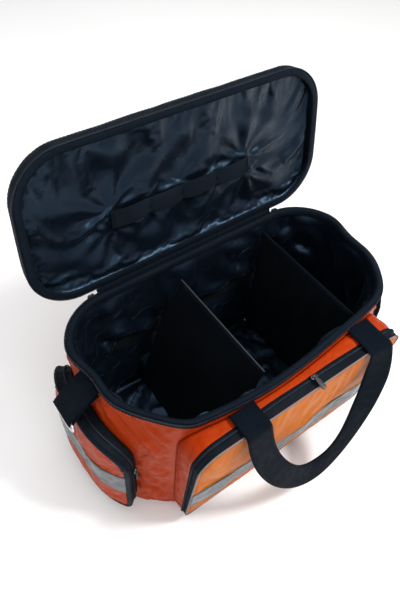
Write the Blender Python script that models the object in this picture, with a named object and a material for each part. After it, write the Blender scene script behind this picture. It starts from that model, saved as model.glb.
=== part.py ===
"""Trauma bag: an open-topped soft holdall with a zip lid standing open, two hook-and-loop
dividers, one long front pocket, two end pockets, D-ring tabs and two webbing carry handles.

Metres, +Z up.  X runs along the bag, -Y is the front (long pocket), +Y is the hinge side,
and the underside rests on z = 0.  Every sub-part is one closed solid with its own material.
"""
import math

import bpy
import bmesh
import numpy as np
from mathutils import Vector

# ---------------------------------------------------------------- driving dimensions
A = 0.230                 # half length of the body
B = 0.104                 # half depth of the body at its ends
R = 0.080                 # plan corner radius
BOW = 0.030               # how far the front wall bows out at mid length
H = 0.255                 # height of the mouth
GAP = 0.0003              # air between touching pieces
FABRIC = 0.0020           # coated outer fabric with its backing
FOAM = 0.0030             # wall padding
LINING = 0.0010
BASE_EDGE = 0.014         # rounding between wall and base

LID_A = 0.232             # half length of the lid
LID_R = 0.062             # lid corner radius
LID_FRONT = 0.104         # lid front edge at its ends, measured from y = 0
LID_BOW = 0.006
LID_LOW = H + 0.0015      # underside of the lid binding when shut
LID_TOP = H + 0.0265
LID_OPEN = math.radians(98.0)
HINGE_Y = B + 0.0045
HINGE_Z = H + 0.0028

POCKET_X = 0.174          # half length of the front pocket
POCKET_Z0 = 0.020
POCKET_Z1 = 0.232
POCKET_Y = -0.150         # front pocket seam at its middle height
POCKET_LEAN = 0.08        # the pocket face leans out this much per metre of height
END_S = 0.082             # half width of an end pocket, measured round the wall
END_Z0 = 0.028
END_Z1 = 0.196
END_DEPTH = 0.0225

WEB = 0.038               # carry webbing width
WEB_T = 0.0024
HANDLE_X = 0.012          # the handles sit this far off centre
HANDLE_HALF = 0.105       # half spacing of the handle roots
HANDLE_DROP = 0.168       # root line to the middle of the webbing at the loop's end
FRONT_PIVOT = (-0.1663, 0.2350)
FRONT_HANG = math.radians(15.0)
BACK_PIVOT = (B + 0.0048, 0.2050)
BACK_HANG = math.radians(1.5)

DIV_TOP = 0.2345
DIV_LOW = 0.0115
DIV_T = 0.0050
DIV_Y0 = -0.1085
DIV_Y1 = 0.0935
LEFT_DIV_X = -0.035
LEFT_DIV_LEAN = 0.065
RIGHT_DIV_X = 0.128

ORANGE = (0.80, 0.17, 0.025)
AMBER = (0.86, 0.33, 0.06)
BLACK = (0.014, 0.015, 0.018)
SATIN = (0.030, 0.036, 0.046)
GREY = (0.30, 0.33, 0.36)
STEEL = (0.55, 0.56, 0.58)


# ---------------------------------------------------------------- scene helpers
def clear_scene():
    for obj in list(bpy.data.objects):
        bpy.data.objects.remove(obj, do_unlink=True)
    part = bpy.data.collections.new("trauma_bag")
    bpy.context.scene.collection.children.link(part)
    return part


PART = clear_scene()


def emit(name, verts, faces, colour, rough, metal=0.0, pivot=(0.0, 0.0, 0.0), turn=None):
    """Closed solid from world-space points; origin on the pivot; optional turn about it."""
    origin = Vector(pivot)
    mesh = bpy.data.meshes.new(name)
    mesh.from_pydata([tuple(Vector(v) - origin) for v in verts], [], faces)
    bm = bmesh.new()
    bm.from_mesh(mesh)
    bmesh.ops.remove_doubles(bm, verts=bm.verts, dist=0.00001)
    bmesh.ops.recalc_face_normals(bm, faces=bm.faces)
    bmesh.ops.triangulate(bm, faces=[f for f in bm.faces if len(f.verts) > 4])
    bm.to_mesh(mesh)
    bm.free()
    mat = bpy.data.materials.new(name)
    mat.use_nodes = True
    shader = mat.node_tree.nodes["Principled BSDF"]
    shader.inputs["Base Color"].default_value = (colour[0], colour[1], colour[2], 1.0)
    shader.inputs["Roughness"].default_value = rough
    shader.inputs["Metallic"].default_value = metal
    mesh.materials.append(mat)
    obj = bpy.data.objects.new(name, mesh)
    obj.location = origin
    if turn is not None:
        obj.rotation_euler = turn
    PART.objects.link(obj)
    return obj


def loft(rings, cyclic=False):
    """Quads between consecutive closed loops; the two ends are capped unless cyclic."""
    n = len(rings[0])
    m = len(rings)
    verts = [tuple(p) for ring in rings for p in ring]
    faces = []
    for k in range(m if cyclic else m - 1):
        a = k * n
        b = ((k + 1) % m) * n
        for i in range(n):
            j = (i + 1) % n
            faces.append((a + i, a + j, b + j, b + i))
    if not cyclic:
        faces.append(tuple(reversed(range(n))))
        faces.append(tuple(range((m - 1) * n, m * n)))
    return verts, faces


def mirror_x(verts):
    return [(-v[0], v[1], v[2]) for v in verts]


# ---------------------------------------------------------------- plan of the body
def plan(off=0.0, a=A, back=B, front=B, r=R, bow=BOW, fine=8):
    """Closed plan outline moved outwards by off: flat back, bowed front, round corners."""
    base = []
    ends = (((a - r, back - r), 0), ((-a + r, back - r), 90),
            ((-a + r, -front + r), 180), ((a - r, -front + r), 270))
    fill = {0: 4, 90: 1, 180: 9, 270: 1}
    for k, (centre, start) in enumerate(ends):
        arc = []
        for i in range(fine + 1):
            t = math.radians(start + 90.0 * i / fine)
            arc.append((centre[0] + r * math.cos(t), centre[1] + r * math.sin(t)))
        base += arc
        nxt, turn = ends[(k + 1) % 4]
        t = math.radians(turn)
        end = (nxt[0] + r * math.cos(t), nxt[1] + r * math.sin(t))
        count = fill[start]
        for i in range(1, count + 1):
            f = i / (count + 1)
            base.append((arc[-1][0] + (end[0] - arc[-1][0]) * f,
                         arc[-1][1] + (end[1] - arc[-1][1]) * f))
    p = np.array(base)
    inside = np.clip(1.0 - (p[:, 0] / a) ** 2, 0.0, 1.0)
    p[:, 1] -= (p[:, 1] < 0) * bow * inside * (np.abs(p[:, 1]) / front) ** 4
    d = np.roll(p, -1, 0) - np.roll(p, 1, 0)
    d /= np.linalg.norm(d, axis=1)[:, None]
    return p + off * np.c_[d[:, 1], -d[:, 0]]


def ring(off, z, **shape):
    return [(x, y, z) for x, y in plan(off, **shape)]


def front_wall(x, off=0.0):
    """y of the front wall at x."""
    p = plan(off, fine=24)
    p = p[p[:, 1] < -0.05]
    p = p[np.argsort(p[:, 0])]
    return float(np.interp(x, p[:, 0], p[:, 1]))


def end_track():
    """Left end wall as arc length from its middle, positive towards the front."""
    p = plan(0.0, fine=32)
    p = p[p[:, 0] < -0.12]
    p = p[np.argsort(-np.degrees(np.arctan2(p[:, 1], -(p[:, 0] + 0.11))))]
    step = np.linalg.norm(np.diff(p, axis=0), axis=1)
    s = np.r_[0.0, np.cumsum(step)]
    s -= np.interp(0.0, -p[:, 1], s)
    d = np.gradient(p, s, axis=0)
    d /= np.linalg.norm(d, axis=1)[:, None]
    return s, p, np.c_[d[:, 1], -d[:, 0]]


TRACK = end_track()


def on_end(s, z, d):
    """Point on the left end wall at arc length s, height z and d outwards."""
    ts, p, n = TRACK
    x = np.interp(s, ts, p[:, 0])
    y = np.interp(s, ts, p[:, 1])
    nx = np.interp(s, ts, n[:, 0])
    ny = np.interp(s, ts, n[:, 1])
    k = math.hypot(nx, ny)
    side = 1.0 if nx < 0 else -1.0
    return (x + side * nx / k * d, y + side * ny / k * d, z)


# ---------------------------------------------------------------- shape helpers
def tub(out, inn, z_low, z_floor, z_top, edge):
    """Open-topped shell: rounded base edge, wall from out to inn, floor z_low to z_floor."""
    rings = []
    for k in range(5):
        t = math.radians(22.5 * k)
        rings.append(ring(out - edge * (1 - math.sin(t)), z_low + edge * (1 - math.cos(t))))
    rings.append(ring(out, 0.5 * (z_low + z_top)))
    rings.append(ring(out, z_top))
    rings.append(ring(inn, z_top))
    rings.append(ring(inn, 0.5 * (z_low + z_top)))
    e = edge - (z_floor - z_low)
    for k in range(4, -1, -1):
        t = math.radians(22.5 * k)
        rings.append(ring(inn - e * (1 - math.sin(t)), z_floor + e * (1 - math.cos(t))))
    return loft(rings)


def ribbon(path, thick, w0, w1, place):
    """Band of rectangular section along a 2-D path; place(p, q, w) gives the 3-D point."""
    p = np.array(path, dtype=float)
    d = np.gradient(p, axis=0)
    d /= np.linalg.norm(d, axis=1)[:, None]
    n = np.c_[-d[:, 1], d[:, 0]]
    hi = p + n * thick / 2
    lo = p - n * thick / 2
    rings = []
    for k in range(len(p)):
        rings.append([place(hi[k, 0], hi[k, 1], w0), place(hi[k, 0], hi[k, 1], w1),
                      place(lo[k, 0], lo[k, 1], w1), place(lo[k, 0], lo[k, 1], w0)])
    return loft(rings)


def outline(half, z0, z1, top_r, low_r, inset=0.0, n=6, along=10, closed=True):
    """Rounded rectangle in (s, z), starting low on the right and going over the top."""
    corners = ((half - top_r, z1 - top_r, top_r, 0), (-half + top_r, z1 - top_r, top_r, 90),
               (-half + low_r, z0 + low_r, low_r, 180), (half - low_r, z0 + low_r, low_r, 270))
    pts = []
    for k, (cs, cz, r, start) in enumerate(corners):
        if not closed and k > 1:
            break
        rr = r - inset
        for i in range(n + 1):
            t = math.radians(start + 90.0 * i / n)
            pts.append((cs + rr * math.cos(t), cz + rr * math.sin(t)))
        if k in (0, 2):
            s0 = cs
            s1 = corners[k + 1][0]
            zz = cz + rr if k == 0 else cz - rr
            for i in range(1, along + 1):
                pts.append((s0 + (s1 - s0) * i / (along + 1), zz))
    if not closed:
        low = z0 + low_r
        pts = [(half - inset, low)] + pts + [(-half + inset, low)]
    return pts


def band(outer, inner, d0, d1, place, cyclic=True):
    """Ring between two outlines, d0(s) to d1 deep."""
    rings = []
    for (s, z), (t, w) in zip(outer, inner):
        rings.append([place(s, z, d0(s)), place(s, z, d1), place(t, w, d1), place(t, w, d0(t))])
    return loft(rings, cyclic=cyclic)


def panel(half, z0, z1, top_r, low_r, d0, d1, place, cols=26):
    """Flat or bent sheet filling a rounded rectangle."""
    rings = []
    for k in range(cols + 1):
        s = -half * math.cos(math.pi * k / cols)
        over = max(0.0, abs(s) - (half - top_r))
        under = max(0.0, abs(s) - (half - low_r))
        hi = z1 - top_r + math.sqrt(max(0.0, top_r ** 2 - over ** 2))
        lo = z0 + low_r - math.sqrt(max(0.0, low_r ** 2 - under ** 2))
        rings.append([place(s, lo, d0), place(s, hi, d0), place(s, hi, d1), place(s, lo, d1)])
    return loft(rings)


def tube(path, normal, radius, sides=8):
    """Closed wire loop of round section; normal is the plane normal of the loop."""
    p = [Vector(v) for v in path]
    up = Vector(normal).normalized()
    rings = []
    for k in range(len(p)):
        d = (p[(k + 1) % len(p)] - p[k - 1]).normalized()
        side = d.cross(up)
        loop = []
        for i in range(sides):
            t = 2 * math.pi * i / sides
            loop.append(p[k] + side * radius * math.cos(t) + up * radius * math.sin(t))
        rings.append(loop)
    return loft(rings, cyclic=True)


# ---------------------------------------------------------------- body
def body():
    floor = FABRIC
    v, f = tub(0.0, -FABRIC, 0.0, floor, H - 0.0018, BASE_EDGE)
    emit("body_shell", v, f, ORANGE, 0.5)
    out = -FABRIC - GAP
    v, f = tub(out, out - FOAM, floor + GAP, floor + GAP + FOAM, H - 0.0018, BASE_EDGE - 0.0023)
    emit("body_foam", v, f, (0.12, 0.12, 0.13), 0.9)
    out -= FOAM + GAP
    low = floor + 2 * GAP + FOAM
    v, f = tub(out, out - LINING, low, low + LINING, H - 0.0018, BASE_EDGE - 0.0056)
    emit("body_lining", v, f, SATIN, 0.35)


def base_board():
    off = -0.0145
    v, f = loft([ring(off, 0.0069), ring(off, 0.0092), ring(off - 0.0008, 0.0099)])
    emit("base_board", v, f, BLACK, 0.6)


def rim():
    lo = H - 0.012
    prof = [(GAP, lo), (0.0018, lo + 0.0006), (0.0018, H - 0.0008), (0.0008, H),
            (-0.0074, H), (-0.0084, H - 0.0008), (-0.0084, H - 0.0100), (-0.0069, H - 0.0100),
            (-0.0069, H - 0.0015), (GAP, H - 0.0015)]
    rings = [ring(off, z) for off, z in prof]
    v, f = loft(rings, cyclic=True)
    emit("rim_binding", v, f, BLACK, 0.7)


def arc_strip(prof, shape):
    """Band with section prof = [(off, z)...] round the plan, open along the flat back."""
    loops = [plan(off, **shape) for off, z in prof]
    n = len(loops[0])
    start = 14
    order = [(start + k) % n for k in range(n - 6)]
    rings = []
    for i in order:
        rings.append([(loops[k][i][0], loops[k][i][1], prof[k][1]) for k in range(len(prof))])
    return loft(rings)


def zip_section(off, z, width, height):
    return [(off, z), (off + height, z + 0.0004), (off + height, z + width - 0.0004),
            (off, z + width)]


def rim_zip():
    v, f = arc_strip(zip_section(0.0021, H - 0.0052, 0.0034, 0.0016), {})
    emit("rim_zip_chain", v, f, (0.02, 0.02, 0.022), 0.4)


def loop_strips():
    path = [(-0.148 + 0.296 * k / 10, 0.0) for k in range(11)]
    y1 = B - 2 * GAP - FABRIC - FOAM - LINING - GAP
    v, f = ribbon(path, 0.001, 0.118, 0.143, lambda p, q, w: (p, y1 - 0.0005 + q, w))
    emit("loop_strip_back", v, f, (0.01, 0.01, 0.012), 0.95)
    off = -(2 * GAP + FABRIC + FOAM + LINING + GAP) - 0.0005
    path = []
    for k in range(13):
        x = -0.15 + 0.30 * k / 12
        path.append((x, front_wall(x, off)))
    v, f = ribbon(path, 0.001, 0.118, 0.143, lambda p, q, w: (p, q, w))
    emit("loop_strip_front", v, f, (0.01, 0.01, 0.012), 0.95)


def hinge_piping():
    rings = []
    for x in (-0.150, -0.1485, 0.1485, 0.150):
        r = 0.0020 if abs(x) < 0.149 else 0.0013
        loop = []
        for i in range(10):
            t = 2 * math.pi * i / 10
            loop.append((x, HINGE_Y + r * math.cos(t), HINGE_Z + r * math.sin(t)))
        rings.append(loop)
    v, f = loft(rings)
    emit("hinge_piping", v, f, BLACK, 0.7)


# ---------------------------------------------------------------- lid, drawn shut, then opened
LID_SHAPE = dict(a=LID_A, back=B, front=LID_FRONT, r=LID_R, bow=LID_BOW)
LID_PIVOT = (0.0, HINGE_Y, HINGE_Z)
LID_TURN = (-LID_OPEN, 0.0, 0.0)


def lid_piece(name, solid, colour, rough):
    return emit(name, solid[0], solid[1], colour, rough, pivot=LID_PIVOT, turn=LID_TURN)


def lid_shell():
    rings = []
    low = LID_LOW + 0.0018
    edge = 0.010
    for k in range(5):
        t = math.radians(22.5 * k)
        off = -edge * (1 - math.sin(t))
        rings.append(ring(off, LID_TOP - edge * (1 - math.cos(t)), **LID_SHAPE))
    rings.append(ring(0.0, low, **LID_SHAPE))
    rings.append(ring(-FABRIC, low, **LID_SHAPE))
    e = edge - FABRIC
    for k in range(4, -1, -1):
        t = math.radians(22.5 * k)
        off = -FABRIC - e * (1 - math.sin(t))
        z = LID_TOP - FABRIC - e * (1 - math.cos(t))
        rings.append(ring(off, z, **LID_SHAPE))
    lid_piece("lid_shell", loft(rings), ORANGE, 0.5)


def lid_slab(off, z0, z1, ease):
    return loft([ring(off, z0, **LID_SHAPE), ring(off, z1 - ease, **LID_SHAPE),
                 ring(off - 0.3 * ease, z1 - 0.3 * ease, **LID_SHAPE),
                 ring(off - ease, z1, **LID_SHAPE)])


def lid_layers():
    off = -FABRIC - GAP
    face = LID_LOW + 0.0095
    lid_piece("lid_lining", loft([ring(off, face, **LID_SHAPE),
                                  ring(off, face + LINING, **LID_SHAPE)]), SATIN, 0.35)
    low = face + LINING + GAP
    top = LID_TOP - FABRIC - GAP
    lid_piece("lid_foam", lid_slab(off, low, top, 0.0078), (0.12, 0.12, 0.13), 0.9)


def lid_binding():
    lo = LID_LOW
    prof = [(0.0018, lo + 0.0008), (0.0018, lo + 0.0125), (GAP, lo + 0.0130), (GAP, lo + 0.0015),
            (-0.0105, lo + 0.0015), (-0.0115, lo + 0.0008), (-0.0105, lo), (0.0010, lo)]
    rings = [ring(off, z, **LID_SHAPE) for off, z in prof]
    lid_piece("lid_binding", loft(rings, cyclic=True), BLACK, 0.7)


def lid_zip():
    prof = zip_section(0.0021, LID_LOW + 0.0004, 0.0034, 0.0016)
    solid = arc_strip(prof, LID_SHAPE)
    lid_piece("lid_zip_chain", solid, (0.02, 0.02, 0.022), 0.4)


def lid_elastic():
    """Elastic loop band tacked down at its ends and at three places between."""
    tacks = (-0.110, -0.055, -0.004, 0.054, 0.108)
    path = []
    for a, b in zip(tacks[:-1], tacks[1:]):
        for k in range(8):
            t = k / 8
            path.append((a + (b - a) * t, -0.0045 * math.sin(math.pi * t)))
    path.append((tacks[-1], 0.0))
    base = LID_LOW + 0.0095 - GAP - 0.0007
    y0 = HINGE_Y - 0.104
    y1 = HINGE_Y - 0.077
    solid = ribbon(path, 0.0012, y0, y1, lambda p, q, w: (p, w, base + q))
    lid_piece("lid_elastic", solid, BLACK, 0.85)


# ---------------------------------------------------------------- dividers
def slab(x, lean, t, y0, y1, z0, z1, ease=0.0):
    """Upright sheet across the bag; lean moves its foot towards -X."""
    span = DIV_TOP - DIV_LOW
    loops = []
    for z, e in ((z0, ease), (z0 + ease, 0.0), (z1 - ease, 0.0), (z1, ease)):
        cx = x - lean * (DIV_TOP - z) / span
        h = t / 2 - e
        loops.append([(cx - h, y0 + e, z), (cx + h, y0 + e, z), (cx + h, y1 - e, z),
                      (cx - h, y1 - e, z)])
    if ease == 0.0:
        loops = [loops[0], loops[3]]
    return loft(loops)


def divider(side, x, lean, edge_colour):
    origin = (x, 0.0, DIV_LOW)
    v, f = slab(x, lean, DIV_T, DIV_Y0, DIV_Y1, DIV_LOW, DIV_TOP, 0.0008)
    emit("divider_" + side, v, f, BLACK, 0.9, pivot=origin)
    v, f = slab(x, lean, DIV_T + 0.0004, DIV_Y0, DIV_Y1, DIV_TOP + GAP, DIV_TOP + 0.0036, 0.0010)
    emit("divider_" + side + "_edge", v, f, edge_colour, 0.6, pivot=origin)
    mid = x - lean * (DIV_TOP - 0.1305) / (DIV_TOP - DIV_LOW)
    for name, y0, y1 in (("back", DIV_Y1 + GAP, DIV_Y1 + GAP + 0.0012),
                         ("front", DIV_Y0 - GAP - 0.0012, DIV_Y0 - GAP)):
        v, f = slab(mid, 0.0, 0.026, y0, y1, 0.119, 0.142)
        emit("divider_" + side + "_hook_" + name, v, f, (0.02, 0.02, 0.02), 0.95, pivot=origin)


# ---------------------------------------------------------------- pockets
def flat_front(s, z, d):
    """Point of the front pocket: d is its y at middle height, and only the face side leans."""
    wall = front_wall(s)
    share = min(1.0, max(0.0, (wall - d) / (wall - POCKET_Y)))
    middle = (POCKET_Z0 + POCKET_Z1) / 2
    return (s, d - POCKET_LEAN * (z - middle) * share, z)


def front_pocket():
    size = (POCKET_X, POCKET_Z0, POCKET_Z1, 0.034, 0.012)
    outer = outline(*size, along=22)
    inner = outline(*size, inset=0.0018, along=22)
    v, f = band(outer, inner, lambda s: front_wall(s, 0.0009), POCKET_Y, flat_front)
    emit("front_pocket_gusset", v, f, BLACK, 0.75)
    y0 = POCKET_Y - GAP
    y1 = y0 - 0.0020
    outer = outline(*size)
    inner = outline(*size, inset=0.0020)
    v, f = band(outer, inner, lambda s: y0, y1, flat_front)
    emit("front_pocket_piping", v, f, GREY, 0.4)
    e = 0.0023
    v, f = panel(POCKET_X - e, POCKET_Z0 + e, POCKET_Z1 - e, 0.034 - e, 0.012 - e, y0, y1,
                 flat_front)
    emit("front_pocket_panel", v, f, AMBER, 0.5)
    y2 = y1 - GAP
    v, f = panel(POCKET_X - e - 0.001, 0.066, 0.116, 0.001, 0.001, y2, y2 - 0.0006,
                 flat_front, cols=8)
    emit("front_pocket_strip", v, f, GREY, 0.3)
    outer = outline(*size, inset=-0.0018, closed=False)
    inner = outline(*size, inset=-GAP, closed=False)
    v, f = band(outer, inner, lambda s: -0.1402, -0.1438, flat_front, cyclic=False)
    emit("front_pocket_zip_chain", v, f, (0.02, 0.02, 0.022), 0.4)


def end_pocket(side):
    flip = (lambda v: v) if side == "left" else mirror_x
    name = "end_pocket_" + side
    size = (END_S, END_Z0, END_Z1, 0.050, 0.012)
    outer = outline(*size, along=14)
    inner = outline(*size, inset=0.0018, along=14)
    v, f = band(outer, inner, lambda s: 0.0008, END_DEPTH, on_end)
    emit(name + "_gusset", flip(v), f, BLACK, 0.75)
    d0 = END_DEPTH + GAP
    d1 = d0 + 0.0020
    v, f = panel(END_S, END_Z0, END_Z1, 0.050, 0.012, d0, d1, on_end)
    emit(name + "_panel", flip(v), f, ORANGE, 0.5)
    v, f = panel(END_S - 0.004, 0.088, 0.138, 0.001, 0.001, d1 + GAP, d1 + GAP + 0.0006, on_end,
                 cols=20)
    emit(name + "_strip", flip(v), f, GREY, 0.3)
    outer = outline(*size, inset=-0.0022, closed=False, along=14)
    inner = outline(*size, inset=-0.0007, closed=False, along=14)
    v, f = band(outer, inner, lambda s: 0.0100, 0.0136, on_end, cyclic=False)
    emit(name + "_zip_chain", flip(v), f, (0.02, 0.02, 0.022), 0.4)


# ---------------------------------------------------------------- zip sliders and pulls
PULL_UP = 0.0038          # pull pivot above the slider's seat


def frame_place(origin, t, h):
    o = Vector(origin)
    t = Vector(t).normalized()
    h = Vector(h).normalized()
    c = t.cross(h)
    return lambda p, q, w: tuple(o + t * p + h * q + c * w)


def slider(name, origin, t, h, flip):
    """Slider riding along t with its back face outwards along h."""
    place = frame_place(origin, t, h)
    low = 0.0
    top = 0.0026
    rings = []
    for p, w in ((-0.0055, 0.0022), (-0.0040, 0.0036), (-0.0010, 0.0040), (0.0010, 0.0040),
                 (0.0030, 0.0038), (0.0055, 0.0030)):
        rings.append([place(p, low, -w), place(p, low, w), place(p, top, w * 0.8),
                      place(p, top, -w * 0.8)])
    v, f = loft(rings)
    body = emit(name, flip(v), f, STEEL, 0.35, 0.9)
    lug = []
    for q, k in ((top - 0.0008, 1.0), (PULL_UP + 0.0002, 1.0), (PULL_UP + 0.0007, 0.6)):
        e = 0.0009 * k
        lug.append([place(-e, q, -e), place(e, q, -e), place(e, q, e), place(-e, q, e)])
    v, f = loft(lug)
    tool = emit(name + "_lug", flip(v), f, STEEL, 0.35, 0.9)
    mod = body.modifiers.new("join", "BOOLEAN")
    mod.operation = "UNION"
    mod.solver = "EXACT"
    mod.object = tool
    graph = bpy.context.evaluated_depsgraph_get()
    done = bpy.data.meshes.new_from_object(body.evaluated_get(graph))
    body.modifiers.clear()
    body.data = done
    bpy.data.objects.remove(tool, do_unlink=True)
    return body


def pull(name, pivot, g, width, flip):
    """Flat tab hanging along g from its pivot; width is the direction across it."""
    o = Vector(pivot)
    g = Vector(g).normalized()
    w = Vector(width).normalized()
    n = g.cross(w)
    rings = []
    for d, half, t in ((0.0014, 0.0017, 0.0006), (0.0060, 0.0026, 0.0006), (0.0075, 0.0032, 0.0009),
                       (0.0185, 0.0034, 0.0009), (0.0205, 0.0022, 0.0007)):
        rings.append([o + g * d + w * half + n * t, o + g * d - w * half + n * t,
                      o + g * d - w * half - n * t, o + g * d + w * half - n * t])
    v, f = loft(rings)
    centre = flip([tuple(o)])[0]
    return emit(name, flip([tuple(p) for p in v]), f, (0.03, 0.03, 0.03), 0.5, pivot=centre)


def zips():
    same = lambda v: v
    seat = POCKET_Z1 + 0.0018 + GAP
    x, y, _ = flat_front(HANDLE_X, seat, -0.1420)
    slider("front_pocket_slider", (x, y, seat), (1, 0, 0), (0, 0, 1), same)
    tilt = math.radians(6.0)
    pull("front_pocket_pull", (x, y, seat + PULL_UP),
         (0, -math.cos(tilt), -math.sin(tilt)), (1, 0, 0), same)
    for side, flip in (("left", same), ("right", mirror_x)):
        z = 0.138
        a = Vector(on_end(END_S + 0.0022 + GAP, z, 0.0118))
        b = Vector(on_end(END_S + 0.0060, z, 0.0118))
        out = (b - a).normalized()
        name = "end_pocket_" + side
        slider(name + "_slider", a, (0, 0, 1), out, flip)
        across = Vector((0, 0, 1)).cross(out)
        pull(name + "_pull", a + out * PULL_UP, (0, 0, -1), across, flip)
        t = math.radians(8.0)
        out = Vector((-math.sin(t), math.cos(t), 0))
        a = Vector((-(A - R), B - R, H - 0.0048)) + out * (R + 0.0040)
        along = Vector((0, 0, 1)).cross(out)
        slider("main_slider_" + side, a, along, out, flip)
        pull("main_pull_" + side, a + out * PULL_UP, (0, 0, -1), along, flip)


# ---------------------------------------------------------------- D-rings
RING_OFF = 0.0335
RING_Z = 0.2040
RING_HALF = 0.0205        # half width of the webbing tab


def d_ring(side):
    flip = (lambda v: v) if side == "left" else mirror_x
    r = 0.0034
    path = [(0.0013, 0.2420), (0.0065, 0.2385)]
    slope = math.atan2(-0.0330, 0.0290)
    for k in range(13):
        t = slope + math.pi / 2 - math.pi * k / 12
        path.append((RING_OFF + r * math.cos(t), RING_Z + r * math.sin(t)))
    path += [(0.0105, 0.2280), (0.0040, 0.2335), (0.0013, 0.2350)]
    v, f = ribbon(path, 0.0013, -RING_HALF, RING_HALF, lambda p, q, w: (-A - p, w, q))
    emit("d_ring_tab_" + side, flip(v), f, BLACK, 0.8)
    loop = []
    for k in range(7):
        loop.append((-A - RING_OFF, (RING_HALF + 0.0020) * (k / 3 - 1), RING_Z))
    for k in range(1, 16):
        t = math.pi * k / 16
        loop.append((-A - RING_OFF, (RING_HALF + 0.0040) * math.cos(t),
                     RING_Z - 0.002 - 0.0240 * math.sin(t)))
    v, f = tube(loop, (1, 0, 0), 0.0019)
    centre = flip([(-A - RING_OFF, 0.0, RING_Z)])[0]
    emit("d_ring_" + side, flip([tuple(p) for p in v]), f, STEEL, 0.25, 1.0, pivot=centre)


# ---------------------------------------------------------------- carry handles
def handle_loop(name, pivot, hang, out):
    """Webbing bent into a half ellipse; out is the side (-1 front, +1 back) it swings to."""
    y0, z0 = pivot
    path = []
    for k in range(33):
        t = math.pi * k / 32
        path.append((HANDLE_X - HANDLE_HALF * math.cos(t), HANDLE_DROP * math.sin(t)))
    dy = out * math.sin(hang)
    dz = -math.cos(hang)

    def place(p, q, w):
        return (p, y0 + dy * q + dz * w * out, z0 + dz * q - dy * w * out)

    v, f = ribbon(path, WEB, -WEB_T / 2, WEB_T / 2, place)
    emit(name, v, f, BLACK, 0.8, pivot=(HANDLE_X, y0, z0))


def front_straps():
    for side, x in (("left", HANDLE_X - HANDLE_HALF), ("right", HANDLE_X + HANDLE_HALF)):
        wall = min(front_wall(x - WEB / 2, 0.0005), front_wall(x + WEB / 2, 0.0005))
        z = FRONT_PIVOT[1] + 0.0012
        end = FRONT_PIVOT[0] + 0.0020
        path = [(wall, z), (wall - 0.006, z), (end + 0.0058, z), (end, z - 0.0002)]
        v, f = ribbon(path, WEB_T, x - WEB / 2, x + WEB / 2, lambda p, q, w: (w, p, q))
        emit("handle_front_strap_" + side, v, f, BLACK, 0.8)


def back_straps():
    for side, x in (("left", HANDLE_X - HANDLE_HALF), ("right", HANDLE_X + HANDLE_HALF)):
        y = B + GAP + WEB_T / 2
        path = [(y, 0.2420), (y, 0.2250), (y, 0.2090)]
        v, f = ribbon(path, WEB_T, x - WEB / 2, x + WEB / 2, lambda p, q, w: (w, p, q))
        emit("handle_back_strap_" + side, v, f, BLACK, 0.8)


# ---------------------------------------------------------------- build
body()
base_board()
rim()
rim_zip()
loop_strips()
hinge_piping()
lid_shell()
lid_layers()
lid_binding()
lid_zip()
lid_elastic()
divider("left", LEFT_DIV_X, LEFT_DIV_LEAN, GREY)
divider("right", RIGHT_DIV_X, 0.0, BLACK)
front_pocket()
end_pocket("left")
end_pocket("right")
zips()
d_ring("left")
d_ring("right")
handle_loop("handle_front", FRONT_PIVOT, FRONT_HANG, -1)
handle_loop("handle_back", BACK_PIVOT, BACK_HANG, 1)
front_straps()
back_straps()
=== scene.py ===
"""Visual model of the trauma bag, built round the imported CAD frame.

Metres, +Z up, bag along X, long pocket on -Y, lid hinge on +Y.  Soft pieces are grids drawn on
the CAD outline, crumpled by cloth simulation and kept near the drawn shape; straps, zips, rings
and stitches are modelled directly.
"""

import math

import bpy
import bmesh
import numpy as np
from mathutils import Matrix, Vector, noise


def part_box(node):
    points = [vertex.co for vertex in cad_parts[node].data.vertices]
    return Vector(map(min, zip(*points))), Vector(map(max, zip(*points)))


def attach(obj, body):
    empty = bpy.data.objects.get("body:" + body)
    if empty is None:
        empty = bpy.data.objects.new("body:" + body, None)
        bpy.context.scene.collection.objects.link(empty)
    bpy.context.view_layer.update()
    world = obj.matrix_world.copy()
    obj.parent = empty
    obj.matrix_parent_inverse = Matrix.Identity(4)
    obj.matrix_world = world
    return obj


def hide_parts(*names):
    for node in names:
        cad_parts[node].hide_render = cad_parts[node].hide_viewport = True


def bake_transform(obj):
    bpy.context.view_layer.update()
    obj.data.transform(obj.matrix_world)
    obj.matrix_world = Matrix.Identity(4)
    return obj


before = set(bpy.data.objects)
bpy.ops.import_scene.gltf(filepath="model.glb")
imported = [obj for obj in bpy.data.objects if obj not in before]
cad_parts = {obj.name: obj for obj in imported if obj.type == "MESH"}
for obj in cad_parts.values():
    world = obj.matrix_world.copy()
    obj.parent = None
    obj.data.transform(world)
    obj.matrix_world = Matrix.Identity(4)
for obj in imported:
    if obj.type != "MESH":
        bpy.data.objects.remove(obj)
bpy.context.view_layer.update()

# ---------------------------------------------------------------- dimensions from the frame
SHELL_LOW, SHELL_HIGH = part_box("body_shell")
A = SHELL_HIGH.x
B = SHELL_HIGH.y
BOW = -SHELL_LOW.y - B
R = 0.080
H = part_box("rim_binding")[1].z
HINGE_Y = B + 0.0045
HINGE_Z = H + 0.0028
LID_OPEN = math.radians(98.0)
LID_A = 0.232
LID_R = 0.062
LID_FRONT = 0.104
LID_BOW = 0.006
LID_LOW = H + 0.0015
LID_TOP = H + 0.0265
LID = dict(a=LID_A, back=B, front=LID_FRONT, r=LID_R, bow=LID_BOW)
LID_FACE = LID_LOW + 0.0095
POCKET_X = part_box("front_pocket_panel")[1].x + 0.0023
POCKET_Y = -0.150
POCKET_LEAN = 0.08
POCKET_Z0 = 0.020
POCKET_Z1 = 0.232
END_S = 0.082
END_Z0 = 0.028
END_Z1 = 0.196
END_DEPTH = 0.0228
WEB = 0.038
WEB_T = 0.0022
HANDLE_X = 0.012
HANDLE_HALF = 0.105
HANDLE_DROP = 0.168
FRONT_PIVOT = (-0.1663, 0.2350)
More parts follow.
